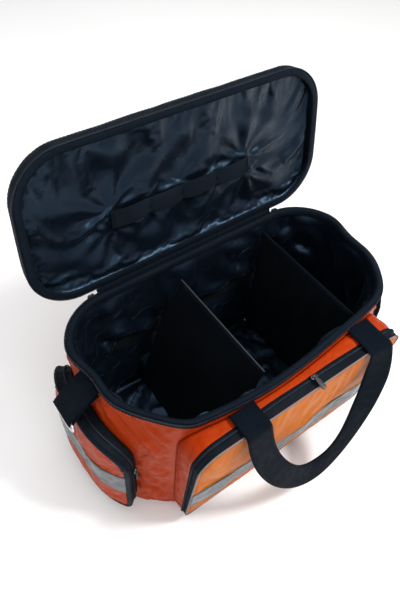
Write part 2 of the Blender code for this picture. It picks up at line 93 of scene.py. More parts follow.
FRONT_HANG = math.radians(15.0)
BACK_PIVOT = (B + 0.0048, 0.2050)
BACK_HANG = math.radians(1.5)

TO_LID = (Matrix.Translation((0.0, HINGE_Y, HINGE_Z)) @ Matrix.Rotation(-LID_OPEN, 4, "X")
          @ Matrix.Translation((0.0, -HINGE_Y, -HINGE_Z)))


# ---------------------------------------------------------------- node materials
COOL = (0.34, 0.60, 0.95)     # dark cloth reflects a bluish light
WARM = (1.0, 0.42, 0.12)      # and the coated cloth an orange one
BAND_SCALE = 1 / 3.1831       # a wave texture at scale 1 has 10 / pi bands in a metre


class Mat:
    """A procedural material: short calls that add and join nodes."""

    def __init__(self, name, rough=0.6, metal=0.0, spec=0.5, sheen=0.0, sheen_rough=0.4,
                 sheen_tint=(1, 1, 1), aniso=0.0, tint=(1, 1, 1)):
        self.mat = bpy.data.materials.new(name)
        self.mat.use_nodes = True
        self.tree = self.mat.node_tree
        self.bsdf = self.tree.nodes["Principled BSDF"]
        for socket, value in (("Roughness", rough), ("Metallic", metal),
                              ("Specular IOR Level", spec), ("Specular Tint", (*tint, 1)),
                              ("Sheen Weight", sheen), ("Sheen Roughness", sheen_rough),
                              ("Sheen Tint", (*sheen_tint, 1)), ("Anisotropic", aniso)):
            self.bsdf.inputs[socket].default_value = value
        self.height = None

    def node(self, kind, **values):
        made = self.tree.nodes.new("ShaderNode" + kind)
        for key, value in values.items():
            setattr(made, key, value)
        return made

    def feed(self, socket, value):
        if isinstance(value, bpy.types.NodeSocket):
            self.tree.links.new(value, socket)
        elif value is not None:
            socket.default_value = value

    def math(self, op, a, b=None, c=None):
        n = self.node("Math", operation=op)
        for socket, value in zip(n.inputs, (a, b, c)):
            self.feed(socket, value)
        return n.outputs[0]

    def place(self, scale=(1, 1, 1), uv=True, turn=0.0):
        m = self.node("Mapping")
        if uv:
            src = self.node("UVMap", uv_map="cut").outputs[0]
        else:
            src = self.node("TexCoord").outputs["Object"]
        self.feed(m.inputs["Vector"], src)
        m.inputs["Scale"].default_value = scale
        m.inputs["Rotation"].default_value = (0, 0, turn)
        return m.outputs[0]

    def noise(self, scale, detail=3.0, rough=0.55, where=None, distort=0.0):
        n = self.node("TexNoise")
        self.feed(n.inputs["Vector"], where or self.place(uv=False))
        n.inputs["Scale"].default_value = scale
        n.inputs["Detail"].default_value = detail
        n.inputs["Roughness"].default_value = rough
        n.inputs["Distortion"].default_value = distort
        return n.outputs["Fac"]

    def wave(self, per_metre, axis="X", where=None):
        n = self.node("TexWave", wave_type="BANDS", bands_direction=axis, wave_profile="SIN")
        self.feed(n.inputs["Vector"], where or self.place())
        n.inputs["Scale"].default_value = per_metre * BAND_SCALE
        return n.outputs["Fac"]

    def ramp(self, fac, stops):
        n = self.node("ValToRGB")
        self.feed(n.inputs[0], fac)
        ramp = n.color_ramp
        while len(ramp.elements) < len(stops):
            ramp.elements.new(0.5)
        for e, (at, colour) in zip(ramp.elements, stops):
            e.position = at
            e.color = (*colour, 1)
        return n.outputs[0]

    def level(self, fac, low, high, a=0.0, b=1.0):
        n = self.node("MapRange")
        self.feed(n.inputs[0], fac)
        for i, v in enumerate((a, b, low, high)):
            n.inputs[i + 1].default_value = v
        return n.outputs[0]

    def mix(self, fac, a, b, mode="MIX"):
        n = self.node("Mix", data_type="RGBA", blend_type=mode)
        self.feed(n.inputs[0], fac)
        for socket, value in ((n.inputs[6], a), (n.inputs[7], b)):
            self.feed(socket, (*value, 1) if isinstance(value, tuple) else value)
        return n.outputs[2]

    def colour(self, value):
        self.feed(self.bsdf.inputs["Base Color"], value)

    def rough(self, value):
        self.feed(self.bsdf.inputs["Roughness"], value)

    def bump(self, height, distance, strength=1.0):
        n = self.node("Bump")
        n.inputs["Strength"].default_value = strength
        n.inputs["Distance"].default_value = distance
        self.feed(n.inputs["Height"], height)
        if self.height is not None:
            self.feed(n.inputs["Normal"], self.height)
        self.height = n.outputs[0]
        self.feed(self.bsdf.inputs["Normal"], self.height)


def weave(m, pitch, uv=True):
    """Plain weave: two crossed thread directions, 0 to 1."""
    where = m.place(uv=uv)
    across = m.wave(1.0 / pitch, "X", where)
    along = m.wave(1.0 / pitch, "Y", where)
    return m.math("MAXIMUM", m.math("MULTIPLY", across, 0.9), along)


def coated_fabric(name, base, shade, pale, spec=0.24):
    m = Mat(name, rough=0.36, spec=spec, sheen=0.01, sheen_rough=0.5, sheen_tint=pale,
            tint=WARM)
    cloud = m.noise(9.0, 4.0)
    col = m.ramp(cloud, ((0.30, shade), (0.72, base)))
    threads = weave(m, 0.0011)
    col = m.mix(m.level(threads, 0.0, 0.10), col, pale)
    scuff = m.noise(70.0, 6.0, 0.7)
    col = m.mix(m.level(scuff, 0.0, 0.22, 0.62, 0.80), col, pale)
    m.colour(col)
    m.rough(m.level(m.noise(40.0, 5.0), 0.34, 0.56, 0.3, 0.7))
    m.bump(m.noise(55.0, 5.0, 0.6), 0.0011, 0.55)
    m.bump(threads, 0.00022, 0.55)
    return m.mat


def satin_fabric(name):
    m = Mat(name, rough=0.30, spec=0.42, sheen=0.05, sheen_rough=0.30,
            sheen_tint=(0.40, 0.62, 0.95), aniso=0.35, tint=COOL)
    cloud = m.noise(14.0, 4.0)
    col = m.ramp(cloud, ((0.3, (0.0014, 0.0022, 0.0045)), (0.75, (0.0032, 0.0055, 0.010))))
    where = m.place()
    twill = m.wave(1400.0, "DIAGONAL", where)
    col = m.mix(m.level(twill, 0.0, 0.10), col, (0.012, 0.020, 0.032))
    m.colour(col)
    m.rough(m.level(m.noise(60.0, 4.0), 0.25, 0.42, 0.3, 0.7))
    m.bump(m.noise(38.0, 4.0, 0.55, distort=0.6), 0.0016, 0.5)
    m.bump(twill, 0.00008, 0.5)
    return m.mat


def matt_fabric(name, base, pale, pitch=0.0012, rough=0.85, sheen=0.01):
    m = Mat(name, rough=rough, spec=0.10, sheen=sheen, sheen_rough=0.5,
            sheen_tint=(0.6, 0.8, 1.0), tint=COOL)
    cloud = m.noise(18.0, 5.0)
    col = m.ramp(cloud, ((0.3, base), (0.8, pale)))
    threads = weave(m, pitch)
    m.colour(m.mix(m.level(threads, 0.0, 0.25), col, pale))
    m.bump(m.noise(45.0, 4.0), 0.0010, 0.45)
    m.bump(threads, 0.0003, 0.6)
    return m.mat


def webbing_material(name):
    """Ribs across the strap and a herringbone of yarns; u runs along it, v across it."""
    m = Mat(name, rough=0.72, spec=0.07, sheen=0.006, sheen_rough=0.45,
            sheen_tint=(0.6, 0.8, 1.0), tint=COOL)
    where = m.place()
    ribs = m.wave(520.0, "X", where)
    turned = m.place(turn=math.radians(32))
    yarn = m.wave(760.0, "Y", turned)
    both = m.math("MULTIPLY", ribs, m.level(yarn, 0.45, 1.0))
    col = m.ramp(both, ((0.15, (0.0014, 0.0021, 0.0036)), (0.95, (0.0070, 0.0105, 0.017))))
    wear = m.noise(130.0, 5.0, 0.7)
    m.colour(m.mix(m.level(wear, 0.0, 0.35, 0.60, 0.85), col, (0.011, 0.016, 0.024)))
    m.rough(m.level(m.noise(90.0), 0.62, 0.85, 0.3, 0.7))
    m.bump(both, 0.0005, 0.8)
    return m.mat


def tape_material(name, ribs_per_metre=900.0, base=(0.0016, 0.0024, 0.0040),
                  pale=(0.0060, 0.0085, 0.0135)):
    """Grosgrain binding: fine ribs across the tape."""
    m = Mat(name, rough=0.62, spec=0.13, sheen=0.01, sheen_rough=0.4,
            sheen_tint=(0.6, 0.8, 1.0), tint=COOL)
    where = m.place()
    ribs = m.wave(ribs_per_metre, "X", where)
    col = m.mix(ribs, base, pale)
    cloud = m.noise(60.0, 4.0)
    m.colour(m.mix(m.level(cloud, 0.0, 0.5, 0.55, 0.85), col, base))
    m.rough(m.level(cloud, 0.50, 0.75, 0.3, 0.7))
    m.bump(ribs, 0.0003, 0.8)
    m.bump(m.noise(70.0, 3.0), 0.0008, 0.4)
    return m.mat


def reflective_material(name, base, pale):
    m = Mat(name, rough=0.36, metal=0.25, spec=0.6, sheen=0.1, sheen_rough=0.3)
    where = m.place(scale=(520, 520, 520), turn=math.radians(45))
    n = m.node("TexVoronoi", feature="DISTANCE_TO_EDGE")
    m.feed(n.inputs["Vector"], where)
    n.inputs["Scale"].default_value = 1.0
    cells = m.level(n.outputs["Distance"], 0.0, 1.0, 0.0, 0.25)
    col = m.mix(cells, base, pale)
    dull = m.noise(35.0, 5.0, 0.65)
    m.colour(m.mix(m.level(dull, 0.0, 0.6, 0.5, 0.85), col, base))
    m.rough(m.level(dull, 0.28, 0.52, 0.3, 0.7))
    m.bump(cells, 0.0001, 0.6)
    m.bump(m.noise(50.0, 3.0), 0.0008, 0.4)
    return m.mat


def coil_material(name):
    m = Mat(name, rough=0.42, spec=0.22, tint=COOL)
    grime = m.noise(120.0, 4.0)
    m.colour(m.ramp(grime, ((0.3, (0.005, 0.005, 0.007)), (0.8, (0.020, 0.022, 0.027)))))
    m.rough(m.level(grime, 0.30, 0.50, 0.3, 0.7))
    m.bump(grime, 0.0002, 0.5)
    return m.mat


def metal_material(name, base, pale):
    m = Mat(name, rough=0.27, metal=1.0)
    brushed = m.noise(1.0, 4.0, 0.6, where=m.place(scale=(300, 1500, 900), uv=False))
    spots = m.noise(160.0, 5.0, 0.7)
    col = m.mix(m.level(spots, 0.0, 0.6, 0.55, 0.8), pale, base)
    m.colour(col)
    m.rough(m.level(brushed, 0.18, 0.42, 0.3, 0.7))
    m.bump(brushed, 0.00008, 0.5)
    return m.mat


def pull_material(name):
    m = Mat(name, rough=0.45, spec=0.5)
    grain = m.noise(700.0, 3.0)
    m.colour(m.ramp(grain, ((0.3, (0.010, 0.010, 0.012)), (0.8, (0.032, 0.033, 0.038)))))
    m.rough(m.level(grain, 0.38, 0.60, 0.3, 0.7))
    m.bump(grain, 0.00015, 0.5)
    return m.mat


def fuzzy_material(name, base, pale, scale=900.0):
    """Hook-and-loop face."""
    m = Mat(name, rough=0.95, spec=0.03, sheen=0.01, sheen_rough=0.7, sheen_tint=(0.7, 0.8, 0.95))
    fuzz = m.noise(scale, 5.0, 0.75, where=m.place(), distort=1.5)
    m.colour(m.mix(m.level(fuzz, 0.0, 1.0, 0.35, 0.7), base, pale))
    m.bump(fuzz, 0.0006, 0.9)
    return m.mat


ORANGE = coated_fabric("orange_coated", (0.385, 0.031, 0.003), (0.29, 0.019, 0.002),
                       (0.50, 0.070, 0.010))
AMBER = coated_fabric("amber_coated", (0.48, 0.118, 0.001), (0.39, 0.086, 0.001),
                      (0.60, 0.180, 0.004), spec=0.12)
SATIN = satin_fabric("satin_lining")
MATT = matt_fabric("divider_cloth", (0.0015, 0.0016, 0.002), (0.0045, 0.005, 0.006), sheen=0.02)
GUSSET = matt_fabric("gusset_cloth", (0.0026, 0.003, 0.004), (0.009, 0.011, 0.014), rough=0.7)
ELASTIC = matt_fabric("elastic_knit", (0.0022, 0.003, 0.0045), (0.008, 0.011, 0.016), pitch=0.0016)
WEBBING = webbing_material("webbing_black")
BINDING = tape_material("binding_tape")
DIVIDER_EDGE = tape_material("divider_piping", 700.0, (0.022, 0.025, 0.029), (0.060, 0.068, 0.076))
GREY_EDGE = tape_material("grey_piping", 700.0, (0.10, 0.115, 0.13), (0.22, 0.245, 0.27))
REFLECT = reflective_material("reflective_tape", (0.055, 0.065, 0.075), (0.125, 0.140, 0.155))
COIL = coil_material("zip_coil")
STEEL = metal_material("ring_steel", (0.26, 0.26, 0.27), (0.62, 0.63, 0.65))
GUNMETAL = metal_material("slider_metal", (0.030, 0.032, 0.036), (0.085, 0.090, 0.100))
PULL = pull_material("pull_rubber")
HOOK = fuzzy_material("hook_tape", (0.0015, 0.0016, 0.002), (0.007, 0.008, 0.010))
YARN = dict(pitch=0.0004, rough=0.6)
BLACK_THREAD = matt_fabric("thread_black", (0.0020, 0.0028, 0.0045), (0.007, 0.010, 0.015), **YARN)
ORANGE_THREAD = matt_fabric("thread_orange", (0.40, 0.06, 0.014), (0.62, 0.15, 0.03), **YARN)
GREY_THREAD = matt_fabric("thread_grey", (0.10, 0.11, 0.12), (0.24, 0.26, 0.28), **YARN)


# ---------------------------------------------------------------- mesh helpers
ROUGH_SCALE = 38.0            # small unevenness that starts the cloth folding
ROUGH_HEIGHT = 0.0012
CLOTH = dict(quality=5, mass=0.15, air_damping=3.0, tension_stiffness=8.0,
             compression_stiffness=8.0, shear_stiffness=4.0, tension_damping=5,
             compression_damping=5, shear_damping=5, bending_damping=0.5, pin_stiffness=1.0)
STITCH_BAR = ((0.0, 0.45), (0.22, 1.0), (0.78, 1.0), (1.0, 0.45))       # share of length, radius
STITCH_ROUND = ((-1, 0.0), (-0.6, 0.85), (0.6, 0.85), (1, 0.0), (0, -0.6))


def fbm(p, scale, seed=0.0, octaves=3):
    """Smooth seeded noise for every row of p, about -1 to 1."""
    out = np.empty(len(p))
    for i, (x, y, z) in enumerate(np.asarray(p, float).reshape(-1, 3) * scale + seed):
        out[i] = noise.fractal(Vector((x, y, z)), 0.6, 2.1, octaves)
    return out


def unit(rows):
    """Vectors scaled to length 1."""
    return rows / np.linalg.norm(rows, axis=-1, keepdims=True)


def arc(points):
    """Length along a line of points, from 0 at its first."""
    return np.r_[0.0, np.cumsum(np.linalg.norm(np.diff(points, axis=0), axis=1))]


def along(points, s, at):
    """Points that stand at lengths s, read again at lengths at."""
    return np.stack([np.interp(at, s, column) for column in np.transpose(points)], -1)


def circle(radius, count):
    return [(radius * math.cos(t), radius * math.sin(t))
            for t in np.linspace(0, 2 * math.pi, count + 1)[:-1]]


def normals_of(P, cyclic):
    """Unit normals of a grid of points (rows, cols, 3)."""
    if cyclic:
        du = np.roll(P, -1, 1) - np.roll(P, 1, 1)
    else:
        du = np.gradient(P, axis=1)
    dv = np.gradient(P, axis=0)
    n = np.cross(du, dv)
    return n / np.maximum(np.linalg.norm(n, axis=2), 1e-12)[:, :, None]


def lengths(P, axis, cyclic=False):
    """Arc length of every grid point along one axis, averaged over the other."""
    Q = np.moveaxis(P, axis, 0)
    if cyclic:
        Q = np.concatenate([Q, Q[:1]], 0)
    step = np.linalg.norm(np.diff(Q, axis=0), axis=2).mean(1)
    return np.r_[0.0, np.cumsum(step)]


def new_object(name, verts, faces, material, uv=None, smooth=True):
    mesh = bpy.data.meshes.new(name)
    mesh.from_pydata([tuple(v) for v in verts], [], faces)
    if uv is not None:
        mesh.uv_layers.new(name="cut").data.foreach_set("uv", uv)
    mesh.polygons.foreach_set("use_smooth", [smooth] * len(mesh.polygons))
    mesh.materials.append(material)
    obj = bpy.data.objects.new(name, mesh)
    bpy.context.scene.collection.objects.link(obj)
    return obj


def edit(obj):
    """A bmesh of the object, which the caller gives back with done()."""
    bm = bmesh.new()
    bm.from_mesh(obj.data)
    bm.verts.ensure_lookup_table()
    return bm


def done(bm, obj):
    bm.to_mesh(obj.data)
    bm.free()
    return obj


def thicken(obj, thick, offset=-1.0):
    mod = obj.modifiers.new("thickness", "SOLIDIFY")
    mod.thickness = thick
    mod.offset = offset
    return mod


def subdivide(obj, levels):
    if levels:
        mod = obj.modifiers.new("smooth", "SUBSURF")
        mod.levels = levels
        mod.render_levels = levels
    return obj


def grid(name, P, material, cyclic=False, thick=0.0, sub=0):
    """Quad sheet from a grid of points, with UVs in metres and optional thickness."""
    P = np.asarray(P, float)
    rows, cols = P.shape[:2]
    verts = P.reshape(-1, 3)
    faces = []
    last = cols if cyclic else cols - 1
    for i in range(rows - 1):
        for j in range(last):
            k = (j + 1) % cols
            faces.append((i * cols + j, i * cols + k, (i + 1) * cols + k, (i + 1) * cols + j))
    U = lengths(P, 1, cyclic)
    V = lengths(P, 0)
    data = []
    for i in range(rows - 1):
        for j in range(last):
            for a, b in ((i, j), (i, j + 1), (i + 1, j + 1), (i + 1, j)):
                data += [U[min(b, len(U) - 1)], V[a]]
    obj = new_object(name, verts, faces, material, data)
    if thick:
        thicken(obj, thick).use_even_offset = False
    return subdivide(obj, sub)


def read(obj):
    co = np.empty(len(obj.data.vertices) * 3)
    obj.data.vertices.foreach_get("co", co)
    return co.reshape(-1, 3)


def write(obj, co):
    obj.data.vertices.foreach_set("co", np.asarray(co, float).ravel())
    obj.data.update()


def crumple(obj, pinned, grow=0.05, out=0.005, inn=0.002, slide=0.004, frames=20, pull=0.0,
            bend=0.15, seed=1.0):
    """Cloth a little too big for its pinned points buckles into folds, then is kept within out,
    inn and slide of the drawn shape.  pull is the share of gravity."""
    rest = read(obj)
    n = np.empty(len(rest) * 3)
    obj.data.vertices.foreach_get("normal", n)
    n = n.reshape(-1, 3)
    rough = fbm(rest, ROUGH_SCALE, seed) * ROUGH_HEIGHT * (1.0 - pinned)
    start = rest + n * rough[:, None]
    write(obj, start)
    start = simulate(obj, pinned, grow, frames, pull, bend)
    move = start - rest
    dn = np.einsum("ij,ij->i", move, n)
    side = move - n * dn[:, None]
    room = np.where(dn > 0, out, inn)
    dn = room * np.tanh(dn / np.maximum(room, 1e-6))
    size = np.linalg.norm(side, axis=1)
    side *= (slide * np.tanh(size / slide) / np.maximum(size, 1e-9))[:, None]
    co = rest + n * dn[:, None] + side
    write(obj, co)
    return co


def simulate(obj, pinned, grow, frames, pull, bend):
    """Run the cloth simulation, take it off again and return where the points came to rest."""
    group = obj.vertex_groups.new(name="pinned")
    for i in np.nonzero(pinned > 0.0)[0]:
        group.add([int(i)], float(pinned[i]), "REPLACE")
    cloth = obj.modifiers.new("cloth", "CLOTH")
    bpy.context.view_layer.objects.active = obj
    for key, value in CLOTH.items():
        setattr(cloth.settings, key, value)
    cloth.settings.bending_stiffness = bend
    cloth.settings.shrink_min = -grow
    cloth.settings.vertex_group_mass = group.name
    cloth.settings.effector_weights.gravity = pull
    cloth.collision_settings.use_collision = False
    cloth.collision_settings.use_self_collision = False
    cloth.point_cache.frame_start = 1
    cloth.point_cache.frame_end = frames + 1
    scene = bpy.context.scene
    for f in range(1, frames + 1):
        scene.frame_set(f)
    shaped = obj.evaluated_get(bpy.context.evaluated_depsgraph_get())
    mesh = shaped.to_mesh()
    co = np.empty(len(mesh.vertices) * 3)
    mesh.vertices.foreach_get("co", co)
    shaped.to_mesh_clear()
    obj.modifiers.remove(cloth)
    obj.vertex_groups.remove(group)
    scene.frame_set(1)
    return co.reshape(-1, 3)


def tube(verts, faces, rings):
    """Add a closed tube through the rings, with a flat face at each end."""
    base = len(verts)
    k = len(rings[0])
    for ring in rings:
        verts.extend(tuple(v) for v in ring)
    for i in range(len(rings) - 1):
        for j in range(k):
            a = base + i * k + j
            b = base + i * k + (j + 1) % k
            faces.append((a, b, b + k, a + k))
    last = base + (len(rings) - 1) * k
    faces.append(tuple(base + j for j in range(k - 1, -1, -1)))
    faces.append(tuple(last + j for j in range(k)))


def thread(name, rows, normals, material, length=0.0030, gap=0.0013, radius=0.00042):
    """Stitches along lines of points; each is a small rounded bar lying on the cloth."""
    verts = []
    faces = []
    for line, norm in zip(rows, normals):
        line = np.asarray(line, float)
        s = arc(line)
        count = int(s[-1] / (length + gap))
        for k in range(count):
            first = (k + 0.5) * s[-1] / count - length / 2
            rings = []
            for share, full in STITCH_BAR:
                at = first + length * share
                p = along(line, s, at)
                d = along(line, s, at + 0.001) - p
                if np.linalg.norm(d) < 1e-7:
                    d = line[-1] - line[-2]
                d = unit(d)
                n = unit(along(norm, s, at))
                side = np.cross(d, n)
                rings.append([p + (side * c + n * q) * radius * full for c, q in STITCH_ROUND])
            tube(verts, faces, rings)
    return solid(name, verts, faces, material)


def solid(name, verts, faces, material, sub=0, smooth=True):
    """A closed mesh from loose faces, with its normals set right."""
    obj = new_object(name, verts, faces, material, smooth=smooth)
    bm = edit(obj)
    bmesh.ops.recalc_face_normals(bm, faces=bm.faces)
    layer = bm.loops.layers.uv.new("cut")
    for f in bm.faces:
        for loop in f.loops:
            loop[layer].uv = (loop.vert.co.x + loop.vert.co.y, loop.vert.co.z)
    return subdivide(done(bm, obj), sub)


def sweep(name, path, sides, section, material, closed=False, sub=0):
    """Section (list of (a, b) pairs) swept along path; sides gives (a-axis, b-axis) per point."""
    path = np.asarray(path, float)
    m = len(path)
    k = len(section)
    across, up = (np.array(axis)[:, None] for axis in zip(*sides))
    a, b = (np.array(part)[None, :, None] for part in zip(*section))
    P = path[:, None] + across * a + up * b
    verts = P.reshape(-1, 3)
    faces = []
    last = m if closed else m - 1
    for i in range(last):
        n = (i + 1) % m
        for j in range(k):
            q = (j + 1) % k
            faces.append((i * k + j, i * k + q, n * k + q, n * k + j))
    if not closed:
        faces.append(tuple(range(k - 1, -1, -1)))
        faces.append(tuple((m - 1) * k + j for j in range(k)))
    U = arc(np.vstack([path, path[:1]]))
    V = arc(np.vstack([P[0], P[0, :1]]))
    data = []
    for i in range(last):
        for j in range(k):
            for a, b in ((i, j), (i, j + 1), (i + 1, j + 1), (i + 1, j)):
                data += [U[a], V[b]]
    if not closed:
        data += [0.0, 0.0] * (2 * k)
    obj = new_object(name, verts, faces, material, data)
    bm = edit(obj)
    bmesh.ops.recalc_face_normals(bm, faces=bm.faces)
    return subdivide(done(bm, obj), sub)


def frames_along(path, up, closed=False):
    """(side, up) pairs along a path: up is a vector or one vector per point."""
    path = np.asarray(path, float)
    if closed:
        d = np.roll(path, -1, 0) - np.roll(path, 1, 0)
    else:
        d = np.gradient(path, axis=0)
    d = unit(d)
    side = unit(np.cross(d, np.broadcast_to(np.asarray(up, float), path.shape)))
    return list(zip(side, np.cross(side, d)))


LID_NARROW = 0.055
LID_SAG = 0.005


def move_to_lid(obj):
    """Let the free end of the lid narrow and sag a little, then stand the lid open."""
    co = read(obj)
    x = co[:, 0].copy()
    far = np.clip((HINGE_Y - co[:, 1]) / (HINGE_Y + LID_FRONT), 0.0, 1.1)
    co[:, 0] = x * (1 - LID_NARROW * far ** 2)
    co[:, 1] += far ** 3 * (0.003 + LID_SAG * (1 - (x / LID_A) ** 2))
    write(obj, co)
    obj.data.transform(TO_LID)
    obj.data.update()
    return obj


def give(obj, body, slot, *nodes):
    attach(obj, body)
    if nodes:
        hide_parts(*nodes)
    return obj


# ---------------------------------------------------------------- outlines
def plan(n, a=A, back=B, front=B, r=R, bow=BOW):
    """n even points round the plan from the middle of the back, and their outward normals."""
    pts = []
    for cx, cy, start in ((-a + r, back - r, 90), (-a + r, -front + r, 180),
                          (a - r, -front + r, 270), (a - r, back - r, 0)):
        for i in range(33):
            t = math.radians(start + 90.0 * i / 32)
            pts.append((cx + r * math.cos(t), cy + r * math.sin(t)))
    pts = np.array([(0.0, back)] + pts + [(0.0, back)])
    s = arc(pts)
    p = along(pts, s, np.linspace(0.0, s[-1], 4001))
    inside = np.clip(1.0 - (p[:, 0] / a) ** 2, 0.0, 1.0)
    p[:, 1] -= (p[:, 1] < 0) * bow * inside * (np.abs(p[:, 1]) / front) ** 4
    s = arc(p)
    at = np.linspace(0.0, s[-1], n, endpoint=False)
    p = along(p, s, at)
    d = unit(np.roll(p, -1, 0) - np.roll(p, 1, 0))
    return p, np.c_[d[:, 1], -d[:, 0]], at


def wall_rows(p, n, profile):
    """Grid of points: one row for each (offset, z) of the profile."""
    return np.array([np.c_[p + n * off, np.full(len(p), z)] for off, z in profile])


FINE_P, FINE_N, _ = plan(2400)


def front_wall(x, off=0.0):
    q = FINE_P + FINE_N * off
    q = q[q[:, 1] < -0.05]
    q = q[np.argsort(q[:, 0])]
    return np.interp(x, q[:, 0], q[:, 1])


def end_track():
    keep = FINE_P[:, 0] < -0.12
    p = FINE_P[keep]
    n = FINE_N[keep]
    order = np.argsort(-np.degrees(np.arctan2(p[:, 1], -(p[:, 0] + 0.11))))
    p = p[order]
    n = n[order]
    s = arc(p)
    return s - np.interp(0.0, -p[:, 1], s), p, n


TRACK = end_track()


def on_end(s, z, d):
    """Points on the left end wall at arc length s (towards the front), height z, d outwards."""
    ts, p, n = TRACK
    s, z, d = np.broadcast_arrays(np.asarray(s, float), z, d)
    flat = along(p, ts, s) + along(n, ts, s) * d[..., None]
    return np.concatenate([flat, z[..., None]], -1)


def on_front(s, z, d):
    """Points of the front pocket: d is y at middle height, and only the face side leans."""
    s, z, d = np.broadcast_arrays(np.asarray(s, float), z, d)
    wall = front_wall(s)
    share = np.clip((wall - d) / (wall - POCKET_Y), 0.0, 1.0)
    middle = (POCKET_Z0 + POCKET_Z1) / 2
    return np.stack([s, d - POCKET_LEAN * (z - middle) * share, z], -1)


MOUTH_END_SAG = 0.010
MOUTH_FRONT_SAG = 0.009
MOUTH_CORNER_SAG = 0.004


def settle(P, share=1.0):
    """The soft mouth sags inwards at both ends and along the right of the front."""
    P = np.array(P, float)
    x, y, z = np.moveaxis(P.copy(), -1, 0)
    top = smooth_in(z, 0.180, 0.244) * share
    ends = smooth_in(np.abs(x), 0.150, 0.215) * (1 - smooth_in(y, -0.010, 0.055))
    front = smooth_in(-y, 0.070, 0.105) * smooth_in(x, -0.09, 0.10) * (1 - smooth_in(x, 0.15, 0.21))
    corner = smooth_in(-x, 0.140, 0.200) * smooth_in(-y, 0.030, 0.070)
    P[..., 0] -= np.sign(x) * top * ends * MOUTH_END_SAG
    P[..., 1] += top * (front * MOUTH_FRONT_SAG + corner * MOUTH_CORNER_SAG)
    return P


def rounded(half, z0, z1, top_r, low_r, inset=0.0, step=0.004, closed=True):
    """Even points round a rounded rectangle in (s, z), from low on the +s side over the top."""
    pts = []
    for k, (cs, cz, r, start) in enumerate(((half - top_r, z1 - top_r, top_r, 0),
                                            (-half + top_r, z1 - top_r, top_r, 90),
                                            (-half + low_r, z0 + low_r, low_r, 180),
                                            (half - low_r, z0 + low_r, low_r, 270))):
        if not closed and k > 1:
            break
        for i in range(17):
            t = math.radians(start + 90.0 * i / 16)
            pts.append((cs + (r - inset) * math.cos(t), cz + (r - inset) * math.sin(t)))
    if closed:
        pts.append(pts[0])
    else:
        pts = [(half - inset, z0 + low_r)] + pts + [(-half + inset, z0 + low_r)]
    s = arc(pts)
    return along(pts, s, np.linspace(0.0, s[-1], int(round(s[-1] / step)), endpoint=not closed))


def outward(line):
    """Outward unit vectors of a line from rounded(), in (s, z)."""
    d = unit(np.gradient(line, axis=0))
    return np.c_[d[:, 1], -d[:, 0]]


def patch(half, z0, z1, top_r, low_r, cols, rows):
    """Grid of (s, z) filling a rounded rectangle, columns closer together near the sides."""
    s = -half * np.cos(np.linspace(0.0, 1.0, cols) * math.pi)
    s = 0.45 * s + 0.55 * np.linspace(-half, half, cols)
    over = np.clip(np.abs(s) - (half - top_r), 0.0, None)
    under = np.clip(np.abs(s) - (half - low_r), 0.0, None)
    hi = z1 - top_r + np.sqrt(np.clip(top_r ** 2 - over ** 2, 0, None))
    lo = z0 + low_r - np.sqrt(np.clip(low_r ** 2 - under ** 2, 0, None))
    t = np.linspace(0.0, 1.0, rows)[:, None]
    return np.broadcast_to(s, (rows, cols)), lo + (hi - lo) * t


def from_edge(x, y, half):
    """How far the points of a patch are from its four sides."""
    return np.minimum.reduce([half - np.abs(x), y - y.min(0), y.max(0) - y])


def smooth_in(x, a, b):
    t = np.clip((np.asarray(x, float) - a) / (b - a), 0.0, 1.0)
    return t * t * (3 - 2 * t)


# ---------------------------------------------------------------- surfaces that carry other pieces
class Surface:
    """A finished grid that straps, tapes and stitches can be laid on, by (s, z)."""

    def __init__(self, S, Z, P):
        self.s = S[0]
        self.Z = Z
        self.P = P
        self.N = normals_of(P, False)

    def at(self, s, z, lift=0.0):
        s, z, lift = np.broadcast_arrays(np.asarray(s, float), z, lift)
        flat = []
        norm = []
        for a, b, up in zip(s.ravel(), z.ravel(), lift.ravel()):
            j = int(np.clip(np.searchsorted(self.s, a) - 1, 0, len(self.s) - 2))
            f = np.clip((a - self.s[j]) / (self.s[j + 1] - self.s[j]), 0.0, 1.0)
            p = np.zeros(3)
            n = np.zeros(3)
            for k, w in ((j, 1 - f), (j + 1, f)):
                p += w * along(self.P[:, k], self.Z[:, k], b)
                n += w * along(self.N[:, k], self.Z[:, k], b)
            n /= max(np.linalg.norm(n), 1e-9)
            flat.append(p + n * up)
            norm.append(n)
        return np.array(flat).reshape(*s.shape, 3), np.array(norm).reshape(*s.shape, 3)


def fill(p2d, cols, rows):
    """Grid of (x, y) inside a plan outline, and its shape."""
    a = np.abs(p2d[:, 0]).max() * 0.9995
    x = a * (0.5 * np.sin(np.linspace(-1, 1, cols) * math.pi / 2) + 0.5 * np.linspace(-1, 1, cols))
    back = p2d[p2d[:, 1] > 0]
    front = p2d[p2d[:, 1] <= 0]
    back = back[np.argsort(back[:, 0])]
    front = front[np.argsort(front[:, 0])]
    hi = np.interp(x, back[:, 0], back[:, 1])
    lo = np.interp(x, front[:, 0], front[:, 1])
    t = np.linspace(0.0, 1.0, rows)[:, None]
    return np.broadcast_to(x, (rows, cols)), lo + (hi - lo) * t


def mirrored(obj, name):
    made = obj.copy()
    made.data = obj.data.copy()
    made.name = name
    made.data.transform(Matrix.Scale(-1, 4, (1, 0, 0)))
    made.data.flip_normals()
    for key in list(made.keys()):
        if key.startswith("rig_"):
            del made[key]
    made.parent = None
    made.matrix_parent_inverse = Matrix.Identity(4)
    made.matrix_world = Matrix.Identity(4)
    bpy.context.scene.collection.objects.link(made)
    return made


def weld(obj, dist=0.00005):
    """Join points that lie on each other."""
    bm = edit(obj)
    bmesh.ops.remove_doubles(bm, verts=bm.verts, dist=dist)
    return done(bm, obj)


